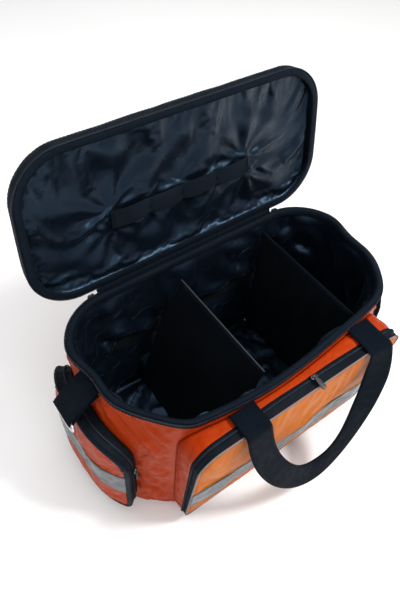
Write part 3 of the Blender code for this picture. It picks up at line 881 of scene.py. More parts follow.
def give_pair(obj, body, slot, *nodes):
    """Give a left piece and make and give its right twin."""
    twin = mirrored(obj, obj.name.replace("left", "right"))
    give(obj, body, slot, *nodes)
    give(twin, body.replace("left", "right"), slot,
         *[node.replace("left", "right") for node in nodes])
    return twin


def coil(name, path, out, up, width=0.0036, height=0.0017, pitch=0.0018):
    """Zip chain: a ridge of round teeth, one every pitch, following path."""
    s = arc(path)
    count = int(s[-1] / pitch)
    at = np.linspace(0.0, s[-1], 3 * count + 1)
    p, o, u = (along(rows, s, at) for rows in (path, out, up))
    tooth = np.arange(len(at)) % 3 == 1
    lift = np.where(tooth, 1.0, 0.55)
    half = np.where(tooth, 1.0, 0.80) * width / 2
    rings = [p + u * (b * half)[:, None] + o * (h * height * lift)[:, None]
             for b, h in ((-1.0, 0.0), (-0.85, 0.7), (-0.35, 1.0), (0.0, 0.82), (0.35, 1.0),
                          (0.85, 0.7), (1.0, 0.0))]
    rings.append(p - o * 0.0002)
    return weld(grid(name, np.stack(rings + [rings[0]], 0), COIL))


TAPE_SEAM = 0.002
FRONT_TAPE = (0.066, 0.116)
END_TAPE = (0.088, 0.138)


def tape(name, surface, s0, s1, z0, z1, cols, rows, material, lift, thick=0.0005):
    s = np.linspace(s0, s1, cols)
    z = np.linspace(z0, z1, rows)[:, None]
    S, Z = np.broadcast_arrays(s, z)
    edge = np.minimum(Z - z0, z1 - Z)
    P, _ = surface.at(S, Z, lift - 0.00025 * (1 - smooth_in(edge, 0.0, 0.002)))
    return grid(name, P, material, thick=thick)


def tape_stitches(name, surface, half, low, high, count):
    """Two rows of stitches along a tape that reaches from low to high."""
    s = np.linspace(-half, half, count)
    laid = [surface.at(s, np.full_like(s, z), 0.0012)
            for z in (low + TAPE_SEAM, high - TAPE_SEAM)]
    return thread(name, [a for a, b in laid], [b for a, b in laid], GREY_THREAD)


# ---------------------------------------------------------------- body
def distance_round(at, total, where):
    d = np.abs(at - where)
    return np.minimum(d, total - d)


def body_shell():
    cols = 340
    p, n, at = plan(cols)
    total = at[-1] + at[1]
    edge = 0.014
    turn = [math.radians(15.0 * k) for k in range(7)]
    prof = [(-edge * (1 - math.sin(t)), edge * (1 - math.cos(t))) for t in turn]
    prof += [(0.0, z) for z in np.linspace(0.0175, H - 0.0025, 62)]
    wall = wall_rows(p, n, prof)
    base = [wall[0] * (f, f, 1.0) for f in (0.04, 0.25, 0.45, 0.65, 0.82, 0.93)]
    P = np.concatenate([np.array(base), wall], 0)
    x, y, z = np.moveaxis(P, 2, 0)
    left = at[np.argmin(np.abs(p[:, 1]) + (p[:, 0] > 0) * 9)]
    right = at[np.argmin(np.abs(p[:, 1]) + (p[:, 0] < 0) * 9)]
    s_end = np.minimum(distance_round(at, total, left), distance_round(at, total, right))
    s_end = np.broadcast_to(s_end, x.shape)
    held = np.maximum(1 - smooth_in(z, 0.004, 0.014), smooth_in(z, H - 0.022, H - 0.012))
    pocket = (smooth_in(0.184 - np.abs(x), 0.0, 0.006) * (y < -0.06)
              * smooth_in(z, 0.010, 0.018) * (1 - smooth_in(z, 0.234, 0.240)))
    ends = ((1 - smooth_in(s_end, END_S + 0.001, END_S + 0.007)) * smooth_in(z, 0.020, 0.026)
            * (1 - smooth_in(z, END_Z1 + 0.002, END_Z1 + 0.008)))
    tab = (1 - smooth_in(s_end, 0.016, 0.022)) * smooth_in(z, 0.222, 0.230)
    seam = np.exp(-((s_end - END_S - 0.017) / 0.0016) ** 2)
    straps = np.exp(-((np.abs(x - HANDLE_X) - HANDLE_HALF) / 0.016) ** 4)
    straps *= smooth_in(z, 0.195, 0.21)
    held = np.clip(np.max([held, pocket, ends, tab, seam * 0.9, straps], 0), 0.0, 1.0)
    # the back handle hangs flat on the wall, so the cloth stays close behind it
    ring = np.hypot((x - HANDLE_X) / HANDLE_HALF, np.minimum(z - BACK_PIVOT[1], 0.0) / HANDLE_DROP)
    behind = (1 - smooth_in(np.abs(ring - 1) * 0.13, 0.026, 0.042)) * (y > 0.05)
    free = (1 - held) * (1 - 0.88 * behind)
    # folds drawn first: slump above the base, pleats beside the seam and pocket corners
    u = np.broadcast_to(at, x.shape)
    slump = 0.0040 * np.exp(-((z - 0.045) / 0.022) ** 2) * (1 + 0.5 * np.sin(u * 46.0))
    pleat = 0.0022 * np.sin(u * 210.0 + 9.0 * np.sin(z * 28.0)) * np.exp(-((z - 0.20) / 0.05) ** 2)
    cross = 0.0030 * np.sin(z * 165.0 + 5.0 * np.sin(u * 31.0))
    cross *= np.exp(-((z - 0.085) / 0.05) ** 2)
    N = normals_of(P, True)
    drawn = np.maximum((slump + pleat + cross) * free, -0.0006)
    P = settle(P + N * (drawn + 0.0012 * seam * smooth_in(z, 0.01, 0.03))[:, :, None])
    obj = grid("body_shell_cloth", P, ORANGE, cyclic=True)
    crumple(obj, held.ravel(), grow=0.055, out=(0.0068 - 0.0056 * behind).ravel(), inn=0.0012,
            slide=0.004, frames=22, pull=0.25, seed=3.0)
    close_base(obj, cols, 0.0013)
    give(obj, "bag", "orange_fabric", "body_shell")


def close_base(obj, cols, thick):
    """Close the small hole left at the middle of the base, and give the cloth its thickness."""
    bm = edit(obj)
    bm.faces.new([bm.verts[j] for j in range(cols)][::-1])
    bm.normal_update()
    thicken(done(bm, obj), thick)


def body_lining():
    cols = 300
    p, n, at = plan(cols)
    off = -0.0066
    low = 0.0066
    e = 0.0085
    turn = [math.radians(22.5 * k) for k in range(5)]
    prof = [(off - e * (1 - math.sin(t)), low + e * (1 - math.cos(t))) for t in turn]
    prof += [(off, z) for z in np.linspace(0.021, H - 0.004, 56)]
    wall = wall_rows(p, n, prof)
    base = [wall[0] * (f, f, 1.0) for f in (0.05, 0.4, 0.8)]
    P = np.concatenate([np.array(base), wall], 0)[:, ::-1]
    x, y, z = np.moveaxis(P, 2, 0)
    u = np.broadcast_to(at, x.shape)
    held = np.maximum(1 - smooth_in(z, 0.010, 0.020), smooth_in(z, H - 0.016, H - 0.011))
    strip = (np.abs(x) < 0.152) * np.exp(-((z - 0.1305) / 0.0145) ** 6)
    held = np.clip(np.maximum(held, strip), 0.0, 1.0)
    free = 1 - held
    drape = 0.0030 * (1 + np.sin(u * 75.0 + z * 62.0 + 3.0 * np.sin(z * 25.0 + u * 9.0)))
    drape += 0.0026 * np.sin(z * 105.0 - u * 24.0 + 5.0 * np.sin(u * 21.0))
    back = smooth_in(y, 0.0, 0.06)
    drape += 0.0024 * np.sin(z * 150.0 + u * 42.0 + 2.5 * np.sin(u * 17.0)) * back
    N = normals_of(P, True)
    P = settle(P + N * (np.maximum(drape + 0.0012, -0.0004) * free)[:, :, None])
    obj = grid("body_lining_cloth", P, SATIN, cyclic=True)
    crumple(obj, held.ravel(), grow=0.08, out=0.0085, inn=0.0012, slide=0.005, frames=22,
            pull=0.35, bend=0.04, seed=11.0)
    close_base(obj, cols, 0.0007)
    give(obj, "bag", "satin_lining", "body_lining", "body_foam")


def base_cover():
    p, n, _ = plan(200)
    X, Y = fill(p - n * 0.0150, 100, 46)
    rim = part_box("base_board")[1].z
    edge = from_edge(X, Y, 0.215)
    Z = rim - 0.0016 * (1 - smooth_in(edge, 0.0, 0.004))
    P = np.stack([X, Y, Z], -1)
    P[:, :, 2] += 0.0010 * np.sin(X * 95 + 6 * np.sin(Y * 40)) * smooth_in(edge, 0.004, 0.02)
    held = 1 - smooth_in(edge, 0.002, 0.010)
    obj = grid("base_board_cover", P, SATIN)
    crumple(obj, held.ravel(), grow=0.05, out=0.0035, inn=0.0005, slide=0.003, frames=16,
            bend=0.06, seed=21.0)
    co = read(obj)
    co[:, 2] = np.maximum(co[:, 2], rim - 0.0018)
    write(obj, co)
    thicken(obj, 0.0016)
    give(obj, "bag", "satin_lining", "base_board")


RIM_PROFILE = ((0.0003, -0.0122), (0.0018, -0.0118), (0.0023, -0.0090), (0.0021, -0.0050),
               (0.0018, -0.0022), (0.0006, -0.0004), (-0.0018, 0.0002), (-0.0040, -0.0002),
               (-0.0058, -0.0014), (-0.0068, -0.0034), (-0.0074, -0.0062), (-0.0077, -0.0098),
               (-0.0068, -0.0104), (-0.0060, -0.0060), (-0.0044, -0.0028), (-0.0010, -0.0024),
               (0.0003, -0.0050))


def puckered(outline, profile, z, pitch, phase, seed, share):
    """Cross-sections of a binding tape that puckers at its stitches, one for each profile row."""
    p, n, at = outline
    rows = []
    for i, (off, dz) in enumerate(profile):
        wave = 0.00035 * np.sin(at * 2 * math.pi / pitch + i)
        wave += 0.0007 * fbm(np.c_[p, np.full(len(p), phase + i * 0.02)], 16.0, seed)
        rows.append(np.c_[p + n * (off + wave * share)[:, None],
                          z + dz + wave * (1.0 if dz > -0.004 else 0.4)])
    return rows


def seam(outline, off, z, face=0.0):
    """A line round the outline for stitches; face 0 looks sideways, -1 down."""
    p, n, _ = outline
    p, n = np.vstack([p, p[:1]]), np.vstack([n, n[:1]])
    line = np.c_[p + n * off, np.full(len(p), z)]
    look = n * np.sign(off) * (1.0 - abs(face))
    return line, np.c_[look, np.full(len(p), face)]


def rim():
    outline = plan(620)
    rows = puckered(outline, RIM_PROFILE, H, 0.0052, 0.3, 5.0, 0.7)
    P = settle(np.stack(rows + [rows[0]], 0))
    obj = weld(grid("rim_binding_cloth", P, BINDING, cyclic=True))
    give(obj, "bag", "black_trim", "rim_binding")
    lines, norms = zip(seam(outline, 0.0026, H - 0.0096), seam(outline, -0.0078, H - 0.0082))
    give(thread("rim_stitches", [settle(line) for line in lines], norms, BLACK_THREAD), "bag",
         "black_trim")


def zip_line(outline, z, tilt):
    """Path and axes of half the main zip, round the outline except its straight back edge."""
    p, n, _ = outline
    keep = (p[:, 1] <= B - 0.003) | (np.abs(p[:, 0]) >= 0.150)
    path = p[keep] + n[keep] * 0.0022
    count = len(path)
    return (np.c_[path, np.full(count, z)], np.c_[n[keep], np.full(count, tilt)],
            np.tile((0.0, 0.0, 1.0), (count, 1)))


def rim_zip():
    path, out, up = zip_line(plan(900), H - 0.0034, 0.35)
    give(coil("rim_zip_coil", settle(path), out, up), "bag", "zip_nylon", "rim_zip_chain")


def loop_strips():
    x = np.linspace(-0.148, 0.148, 75)
    z = np.linspace(0.118, 0.143, 8)[:, None]
    wave = 0.0006 * np.sin(x * 90.0 + z * 60.0) + 0.0004
    for name, y, side in (("back", np.full(75, B - 0.0072), -1.0),
                          ("front", front_wall(x, -0.0072), 1.0)):
        P = np.stack(np.broadcast_arrays(x, y + side * wave, z), -1)
        if name == "front":
            P = P[:, ::-1]
        obj = grid("loop_strip_" + name + "_tape", P, HOOK, thick=0.0009)
        give(obj, "bag", "hook_and_loop", "loop_strip_" + name)
        lines = [np.stack(np.broadcast_arrays(x, y + side * 0.0012, row), -1)
                 for row in (0.1200, 0.1410)]
        norms = [np.tile((0.0, side, 0.0), (75, 1))] * 2
        give(thread("loop_strip_" + name + "_stitches", lines, norms, BLACK_THREAD), "bag",
             "black_trim")


def hinge_web():
    """Folded tape joining the back rim and the lid."""
    end = TO_LID @ Vector((0.0, B + 0.0024, LID_LOW + 0.0090))
    pts = np.array([(B + 0.0026, H - 0.0100), (B + 0.0034, H - 0.0050), (B + 0.0052, H - 0.0006),
                    (HINGE_Y + 0.0022, HINGE_Z - 0.0008), (HINGE_Y + 0.0044, HINGE_Z + 0.0004),
                    (end.y + 0.0006, end.z - 0.0004)])
    s = arc(pts)
    Y, Z = along(pts, s, np.linspace(0.0, s[-1], 14)).T[:, :, None]
    x = np.linspace(0.152, -0.152, 130)
    Y, Z, X = np.broadcast_arrays(Y, Z, x)
    wave = 0.0004 * np.sin(x * 2 * math.pi / 0.009)
    P = np.stack([X, Y + wave, Z - wave], -1)
    obj = grid("hinge_tape", P, BINDING, thick=0.0010)
    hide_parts("hinge_piping")
    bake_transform(obj)


# ---------------------------------------------------------------- lid
TACKS = (-0.110, -0.055, -0.004, 0.054, 0.108)
ELASTIC_Y = (HINGE_Y - 0.104, HINGE_Y - 0.077)


def lid_cover():
    cols = 300
    p, n, _ = plan(cols, **LID)
    edge = 0.010
    prof = [(0.0, z) for z in np.linspace(LID_LOW + 0.0022, LID_TOP - edge, 6)]
    for k in range(1, 7):
        t = math.radians(15.0 * k)
        prof.append((-edge * (1 - math.cos(t)), LID_TOP - edge * (1 - math.sin(t))))
    wall = wall_rows(p, n, prof)
    last = wall[-1]
    inner = [last * (f, f, 1.0) for f in np.linspace(0.965, 0.03, 26)]
    P = np.concatenate([wall, np.array(inner)], 0)
    x, y, z = np.moveaxis(P, 2, 0)
    dome = smooth_in(np.minimum(0.215 - np.abs(x), 0.095 - np.abs(y)), 0.0, 0.07)
    z += dome * (z > LID_TOP - 0.0005) * 0.004
    held = 1 - smooth_in(z, LID_LOW + 0.010, LID_LOW + 0.016)
    ridge = len(prof) - 3
    held[ridge] = np.maximum(held[ridge], 0.8)
    held[-9:] = np.maximum(held[-9:], np.linspace(0.0, 0.95, 9)[:, None])
    obj = grid("lid_cover", P, ORANGE, cyclic=True)
    move_to_lid(obj)
    crumple(obj, held.ravel(), grow=0.035, out=0.004, inn=0.002, slide=0.003, frames=18, seed=31.0)
    bm = edit(obj)
    bm.faces.new(bm.verts[-cols:])
    thicken(done(bm, obj), 0.0013)
    give(obj, "lid", "orange_fabric", "lid_shell")


def lid_lining():
    p, n, _ = plan(400, **LID)
    X, Y = fill(p - n * 0.0015, 128, 60)
    Z = np.full_like(X, LID_FACE)
    dish = 0.0016 * smooth_in(np.minimum(0.222 - np.abs(X), 0.10 - np.abs(Y)), 0.0, 0.05)
    fold = np.zeros_like(X)
    for k, tx in enumerate(TACKS):
        end = k in (0, len(TACKS) - 1)
        lobes, wide, high = (9, 0.060, 0.0040) if end else (6, 0.028, 0.0024)
        for ty in ELASTIC_Y:
            r = np.hypot(X - tx, Y - ty)
            phi = np.arctan2(Y - ty, X - tx)
            rays = high * np.cos(lobes * phi + 1.7 * k + 3.0 * ty)
            fold += rays * np.exp(-r / wide) * r / (r + 0.012)
    swing = 0.0022 * np.sin(Y * 75.0 + X * 22.0 + 3.0 * np.sin(X * 19.0))
    swing += 0.0016 * np.sin(X * 64.0 - Y * 45.0 + 2.0 * np.sin(Y * 33.0))
    free = smooth_in(from_edge(X, Y, 0.2285), 0.001, 0.012)
    # the lining turns up to the lip all round, so no shell shows under the binding
    lip = LID_LOW + 0.0022
    Z[[0, -1], :] = lip
    Z[:, [0, -1]] = lip
    band = (np.abs(Y - sum(ELASTIC_Y) / 2) < 0.0150) & (np.abs(X) < 0.116)
    soft_band = np.exp(-((Y - sum(ELASTIC_Y) / 2) / 0.0165) ** 8) * (np.abs(X) < 0.118)
    calm = 1 - 0.80 * soft_band
    P = np.stack([X, Y, Z - (fold + swing) * free * calm + dish], -1)[:, ::-1]
    held = 1 - free
    for tx in TACKS:
        held = np.maximum(held, (np.abs(X - tx) < 0.0035) * band)
    held = held[:, ::-1]
    obj = grid("lid_lining_cloth", P, SATIN)
    move_to_lid(obj)
    room_out = (0.0070 * calm)[:, ::-1].ravel()
    crumple(obj, held.ravel(), grow=0.055, out=room_out, inn=0.0045, slide=0.004, frames=24,
            pull=0.30, bend=0.04, seed=41.0)
    thicken(obj, 0.0007)
    subdivide(obj, 1)
    give(obj, "lid", "satin_lining", "lid_lining", "lid_foam")


LID_LIP = 0.74
LID_PROFILE = ((-0.0012, 0.0222), (0.0008, 0.0196), (0.0019, 0.0160), (0.0022, 0.0120),
               (0.0023, 0.0100), (0.0023, 0.0050), (0.0020, 0.0016),
               (0.0008, 0.0003), (-0.0020, -0.0002), (-0.0060, -0.0002), (-0.0095, 0.0002),
               (-0.0114, 0.0014), (-0.0108, 0.0030), (-0.0070, 0.0024), (-0.0012, 0.0022),
               (0.0003, 0.0040), (0.0003, 0.0128), (-0.0006, 0.0180), (-0.0022, 0.0208))


def lid_binding():
    outline = plan(600, **LID)
    profile = [(off if off > 0 else off * LID_LIP, dz) for off, dz in LID_PROFILE]
    rows = puckered(outline, profile, LID_LOW, 0.0050, 0.9, 8.0, 0.6)
    P = np.stack(rows[::-1] + [rows[-1]], 0)
    obj = weld(grid("lid_binding_cloth", P, BINDING, cyclic=True))
    move_to_lid(obj)
    give(obj, "lid", "black_trim", "lid_binding")
    rows = (seam(outline, -0.0092 * LID_LIP, LID_LOW - 0.0002, face=-1.0),
            seam(outline, 0.0024, LID_LOW + 0.0108))
    obj = move_to_lid(thread("lid_stitches", *zip(*rows), BLACK_THREAD))
    give(obj, "lid", "black_trim")


def lid_zip():
    obj = coil("lid_zip_coil", *zip_line(plan(900, **LID), LID_LOW + 0.0022, -0.35))
    give(move_to_lid(obj), "lid", "zip_nylon", "lid_zip_chain")


def lid_elastic():
    x = []
    rise = []
    for a, b in zip(TACKS[:-1], TACKS[1:]):
        for k in range(20):
            t = k / 20
            x.append(a + (b - a) * t)
            rise.append(0.0040 * math.sin(math.pi * t) ** 0.8)
    x.append(TACKS[-1])
    rise.append(0.0)
    x = np.array([TACKS[0] - 0.003, TACKS[0] - 0.001] + x + [TACKS[-1] + 0.001, TACKS[-1] + 0.003])
    rise = np.array([0.0, 0.0] + rise + [0.0, 0.0])
    y = np.linspace(ELASTIC_Y[0], ELASTIC_Y[1], 11)[:, None]
    mid = sum(ELASTIC_Y) / 2
    pinch = 1 - 0.16 * np.exp(-(np.min(np.abs(x[:, None] - np.array(TACKS)[1:4]), 1) / 0.006) ** 2)
    Y = mid + (y - mid) * pinch
    curl = 0.0007 * ((y - mid) / 0.0135) ** 2
    X, Y, Z = np.broadcast_arrays(x, Y, LID_FACE - 0.0016 - rise + curl)
    P = np.stack([X, Y, Z], -1)[:, ::-1]
    obj = move_to_lid(grid("lid_elastic_band", P, ELASTIC, thick=0.0012, sub=1))
    give(obj, "lid", "black_trim", "lid_elastic")
    lines = []
    z = LID_FACE - 0.0026
    for k, tx in enumerate(TACKS):
        if k in (0, len(TACKS) - 1):
            for d in (-0.0015, 0.0015):
                lines.append([(tx + d, ELASTIC_Y[0] + 0.001, z), (tx + d, ELASTIC_Y[1] - 0.001, z)])
        else:
            for s in (-1, 1):
                lines.append([(tx - 0.003, mid - s * 0.004, z), (tx + 0.003, mid + s * 0.004, z)])
    norms = [np.tile((0.0, 0.0, -1.0), (2, 1)) for _ in lines]
    obj = thread("lid_elastic_stitches", lines, norms, BLACK_THREAD, radius=0.0006)
    move_to_lid(obj)
    give(obj, "lid", "black_trim")


# ---------------------------------------------------------------- dividers
LEFT_LOW, LEFT_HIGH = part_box("divider_left")
DIV_TOP = LEFT_HIGH.z
DIV_LOW = LEFT_LOW.z
DIV_Y0 = LEFT_LOW.y + 0.003
DIV_Y1 = LEFT_HIGH.y - 0.002
LEFT_TOP_X = LEFT_HIGH.x - 0.0025
LEFT_LEAN = LEFT_HIGH.x - LEFT_LOW.x - 0.005
RIGHT_X = (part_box("divider_right")[0].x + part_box("divider_right")[1].x) / 2


def divider(side, top_x, lean, slant, edge_material, edge_slot, seed):
    """A padded panel with bound top edge and a hook tab at each end."""
    node = "divider_" + side
    rows = 46
    half = 46
    z = np.linspace(DIV_LOW + 0.001, DIV_TOP, rows)[:, None]
    y = DIV_Y0 + (DIV_Y1 - DIV_Y0) * np.linspace(0.0, 1.0, half)
    loop_y = np.r_[y, y[::-1]]
    face = np.repeat((1.0, -1.0), half)
    near = np.minimum(loop_y - DIV_Y0, DIV_Y1 - loop_y)
    Y, Z = np.broadcast_arrays(loop_y, z)
    Y = Y - slant * smooth_in(Z, 0.145, DIV_TOP) * smooth_in(Y, 0.03, DIV_Y1)
    drop = (DIV_TOP - Z) / (DIV_TOP - DIV_LOW)
    belly = 0.0030 * np.sin(Y * 21.0 + 1.0) * np.sin(drop * 3.0)
    up = smooth_in(DIV_TOP - Z, -0.001, 0.008) * 0.4 + 0.6
    X = top_x - lean * drop + belly + face * 0.0021 * smooth_in(near, -0.004, 0.012) * up
    P = np.stack([X, Y, Z], -1)
    edge = np.minimum.reduce([np.broadcast_to(near, Y.shape), DIV_TOP - Z, Z - DIV_LOW])
    held = 1 - smooth_in(edge, 0.003, 0.012)
    obj = grid(node + "_panel", P, MATT, cyclic=True)
    crumple(obj, held.ravel(), grow=0.03, out=0.0022, inn=0.0008, slide=0.002, frames=14,
            pull=0.2, seed=seed)
    bm = edit(obj)
    bm.faces.new(bm.verts[:2 * half][::-1])
    bm.faces.new(bm.verts[-2 * half:])
    bmesh.ops.recalc_face_normals(bm, faces=bm.faces)
    give(done(bm, obj), node, "divider_cloth", node)
    top = read(obj)[-2 * half:]
    path = (top[:half] + top[half:][::-1]) / 2 + (0.0, 0.0, 0.0004)
    obj = sweep(node + "_tape", path, frames_along(path, (0.0, 0.0, 1.0)), circle(0.0010, 10),
                edge_material)
    give(obj, node, edge_slot, node + "_edge")
    lines = [path + (s * 0.0031, 0.0, -0.0035) for s in (-1.0, 1.0)]
    norms = [np.tile((s, 0.0, 0.0), (len(path), 1)) for s in (-1.0, 1.0)]
    give(thread(node + "_stitches", lines, norms, BLACK_THREAD), node, "black_trim")
    for end, sign, edge_y in (("back", 1.0, DIV_Y1), ("front", -1.0, DIV_Y0)):
        low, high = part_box(node + "_hook_" + end)
        x = np.linspace(low.x, high.x, 12)
        face_y = (low.y if end == "back" else high.y) + sign * 0.0010
        bend = sign * 0.0004 * np.exp(-((x - (low.x + high.x) / 2) / 0.004) ** 2)
        z = np.linspace(low.z, high.z, 10)[:, None]
        P = np.stack(np.broadcast_arrays(x, face_y - bend, z), -1)
        if end == "back":
            P = P[:, ::-1]
        obj = grid(node + "_hook_tab_" + end, P, HOOK, thick=-abs(face_y - edge_y))
        give(obj, node, "hook_and_loop", node + "_hook_" + end)


# ---------------------------------------------------------------- front pocket
def ring_band(name, outline, depths, part, place, material, bulge, seed, rows=9, out=0.0016):
    """Part (from, to) of the gusset between wall and panel; returns it and its flat size."""
    pts = outline
    d0, d1 = depths
    away = unit(pts - pts.mean(0))
    loops = []
    f = np.linspace(0.0, 1.0, rows)
    for share in f:
        g = part[0] + (part[1] - part[0]) * share
        q = pts + away * (bulge * math.sin(math.pi * share))
        flat = place(q[:, 0], q[:, 1], d0 + (d1 - d0) * g)
        from_wall = 0.0 if np.ndim(part[0]) else np.clip(1.0 - g / part[1], 0.0, 1.0)
        loops.append(flat + (settle(flat) - flat) * np.reshape(from_wall, (-1, 1)))
    P = np.array(loops)
    obj = grid(name, P, material, cyclic=True)
    near = np.minimum(f, 1 - f)[:, None]
    held = np.broadcast_to(1 - smooth_in(near, 0.02, 0.22), P.shape[:2])
    crumple(obj, held.ravel(), grow=0.05, out=out, inn=0.0016, slide=0.002, frames=14, seed=seed,
            bend=0.08)
    thicken(obj, 0.0009, offset=0.0)
    round_it, over_it = lengths(P, 1, True)[-1], lengths(P, 0)[-1]
    return obj, (round(float(round_it), 3), round(float(over_it), 4))


ZIP_BAND = 0.0112
FRONT_ZIP_Y = -0.1420
FRONT_SIZE = (POCKET_X, POCKET_Z0, POCKET_Z1, 0.034, 0.012)


def front_pocket():
    line = rounded(*FRONT_SIZE, inset=0.0010, step=0.0042)
    depths = (front_wall(line[:, 0], 0.0012), np.full(len(line), POCKET_Y + 0.0006))
    deep = np.abs(depths[1] - depths[0])
    split = 1 - np.minimum(ZIP_BAND, 0.74 * deep) / deep
    obj, size = ring_band("front_pocket_skirt", line, depths, (0.0, split), on_front, ORANGE,
                          0.0006, 61.0, out=0.0009)
    give(obj, "bag", "orange_fabric", "front_pocket_gusset")
    obj, size = ring_band("front_pocket_side", line, depths, (split, 1.0), on_front, GUSSET,
                          0.0, 63.0, rows=7, out=0.0003)
    give(obj, "bag", "black_trim", "front_pocket_gusset")
    # panel
    e = 0.0016
    S, Z = patch(POCKET_X - e, POCKET_Z0 + e, POCKET_Z1 - e, 0.034 - e, 0.012 - e, 118, 70)
    edge = from_edge(S, Z, POCKET_X - e)
    crown = 0.0042 * smooth_in(edge, 0.0, 0.055) + 0.0012 * smooth_in(edge, 0.0, 0.012)
    sag = 0.0016 * np.sin(S * 34.0 + 2.0) * smooth_in(edge, 0.01, 0.05)
    sag += 0.0011 * np.sin(Z * 60.0 + 4.0 * np.sin(S * 18.0)) * smooth_in(edge, 0.005, 0.04)
    P = on_front(S, Z, POCKET_Y - 0.0008 - crown - sag)
    tape_hold = (np.abs(np.abs(Z - 0.091) - 0.023) < 0.0022) * 0.6
    held = np.maximum(1 - smooth_in(edge, 0.002, 0.008), tape_hold)
    obj = grid("front_pocket_face", P, AMBER)
    co = crumple(obj, held.ravel(), grow=0.018, out=0.0030, inn=0.0030, slide=0.002, frames=20,
                 pull=0.15, bend=0.3, seed=71.0)
    thicken(obj, 0.0012)
    give(obj, "bag", "amber_fabric", "front_pocket_panel")
    surf = Surface(S, Z, co.reshape(P.shape))
    # piping: a grey corded tube round the panel
    line = rounded(*FRONT_SIZE, inset=0.0006, step=0.0036)
    path = on_front(line[:, 0], line[:, 1], POCKET_Y - 0.0012)
    obj = sweep("front_pocket_cord_edge", path, frames_along(path, (0.0, -1.0, 0.0), True),
                circle(0.0010, 8), GREY_EDGE, closed=True)
    give(obj, "bag", "grey_edging", "front_pocket_piping")
    half = POCKET_X - 0.0034
    obj = tape("front_pocket_tape", surf, -half, half, *FRONT_TAPE, 110, 14, REFLECT, 0.0011)
    give(obj, "bag", "reflective_tape", "front_pocket_strip")
    give(tape_stitches("front_pocket_tape_stitches", surf, POCKET_X - 0.004, *FRONT_TAPE, 150),
         "bag", "grey_edging")
    line = rounded(*FRONT_SIZE, inset=0.0062, step=0.004)
    a, b = surf.at(line[:, 0], line[:, 1], 0.0002)
    obj = thread("front_pocket_seam_stitches", [np.vstack([a, a[:1]])], [np.vstack([b, b[:1]])],
                 ORANGE_THREAD)
    give(obj, "bag", "amber_fabric")
    # zip chain
    line = rounded(*FRONT_SIZE, inset=-0.0004, step=0.0015, closed=False)
    path = on_front(line[:, 0], line[:, 1], FRONT_ZIP_Y)
    s_out, z_out = outward(line).T
    out = np.c_[s_out, np.zeros(len(line)), z_out]
    up = np.tile((0.0, 1.0, 0.0), (len(line), 1))
    give(coil("front_pocket_zip_coil", path, out, up, height=0.0014), "bag", "zip_nylon",
         "front_pocket_zip_chain")


# ---------------------------------------------------------------- end pockets
END_SIZE = (END_S, END_Z0, END_Z1, 0.050, 0.012)
END_ZIP_DEPTH = 0.0118


def end_pockets():
    made = []
    line = rounded(*END_SIZE, inset=0.0010, step=0.0042)
    depths = (np.full(len(line), 0.0012), np.full(len(line), END_DEPTH + 0.0004))
    obj, size = ring_band("end_pocket_left_side", line, depths, (0.0, 1.0), on_end, GUSSET,
                          0.0005, 81.0)
    made.append((obj, "black_trim", "gusset", (size, "body_shell_cloth")))
    S, Z = patch(END_S - 0.0006, END_Z0 + 0.0006, END_Z1 - 0.0006, 0.0494, 0.0114, 62, 60)
    edge = from_edge(S, Z, END_S)
    crown = 0.0028 * smooth_in(edge, 0.0, 0.045) + 0.0014 * smooth_in(edge, 0.0, 0.010)
    sag = 0.0012 * np.sin(S * 60.0 + Z * 30.0) * smooth_in(edge, 0.008, 0.04)
    P = on_end(S, Z, END_DEPTH + 0.0008 + crown + sag)
    held = np.maximum(1 - smooth_in(edge, 0.002, 0.008),
                      (np.abs(np.abs(Z - 0.113) - 0.0235) < 0.0022) * 0.6)
    obj = grid("end_pocket_left_face", P, ORANGE)
    co = crumple(obj, held.ravel(), grow=0.03, out=0.0035, inn=0.0025, slide=0.002, frames=18,
                 pull=0.2, bend=0.2, seed=91.0)
    thicken(obj, 0.0012)
    surf = Surface(S, Z, co.reshape(P.shape))
    made.append((obj, "orange_fabric", "panel", ((0.172, 0.175), "end_pocket_left_side")))
    half = END_S - 0.0045
    obj = tape("end_pocket_left_tape", surf, -half, half, *END_TAPE, 60, 14, REFLECT, 0.0011)
    made.append((obj, "reflective_tape", "strip", None))
    obj = tape_stitches("end_pocket_left_tape_stitches", surf, END_S - 0.005, *END_TAPE, 80)
    made.append((obj, "grey_edging", None, None))
    # black binding round the face, and its stitches
    line = rounded(*END_SIZE, inset=0.0016, step=0.0036)
    path, up = surf.at(line[:, 0], line[:, 1], 0.0004)
    sect = ((0.0042, -0.0004), (0.0044, 0.0004), (0.0020, 0.0012), (-0.0012, 0.0010),
            (-0.0026, -0.0006), (-0.0026, -0.0030), (-0.0016, -0.0032))
    side = unit(np.cross(up, unit(np.roll(path, -1, 0) - np.roll(path, 1, 0))))
    obj = sweep("end_pocket_left_binding", path, list(zip(side, up)), sect, BINDING, closed=True)
    made.append((obj, "black_trim", None, None))
    line = rounded(*END_SIZE, inset=-0.0006, step=0.0015, closed=False)
    path = on_end(line[:, 0], line[:, 1], END_ZIP_DEPTH)
    ahead = line + outward(line) * 0.001
    out = unit(on_end(ahead[:, 0], ahead[:, 1], END_ZIP_DEPTH) - path)
    up = unit(on_end(line[:, 0], line[:, 1], END_ZIP_DEPTH + 0.001) - path)
    made.append((coil("end_pocket_left_zip_coil", path, out, up, height=0.0014), "zip_nylon",
                 "zip_chain", None))
    for obj, slot, node, sheet in made:
        nodes = ["end_pocket_left_" + node] if node else []
        twin = give_pair(obj, "bag", slot, *nodes)


# ---------------------------------------------------------------- hardware
def placer(origin, t, h):
    o = Vector(origin)
    t = Vector(t).normalized()
    h = Vector(h).normalized()
    c = t.cross(h)
    return lambda p, q, w: tuple(o + t * p + h * q + c * w)


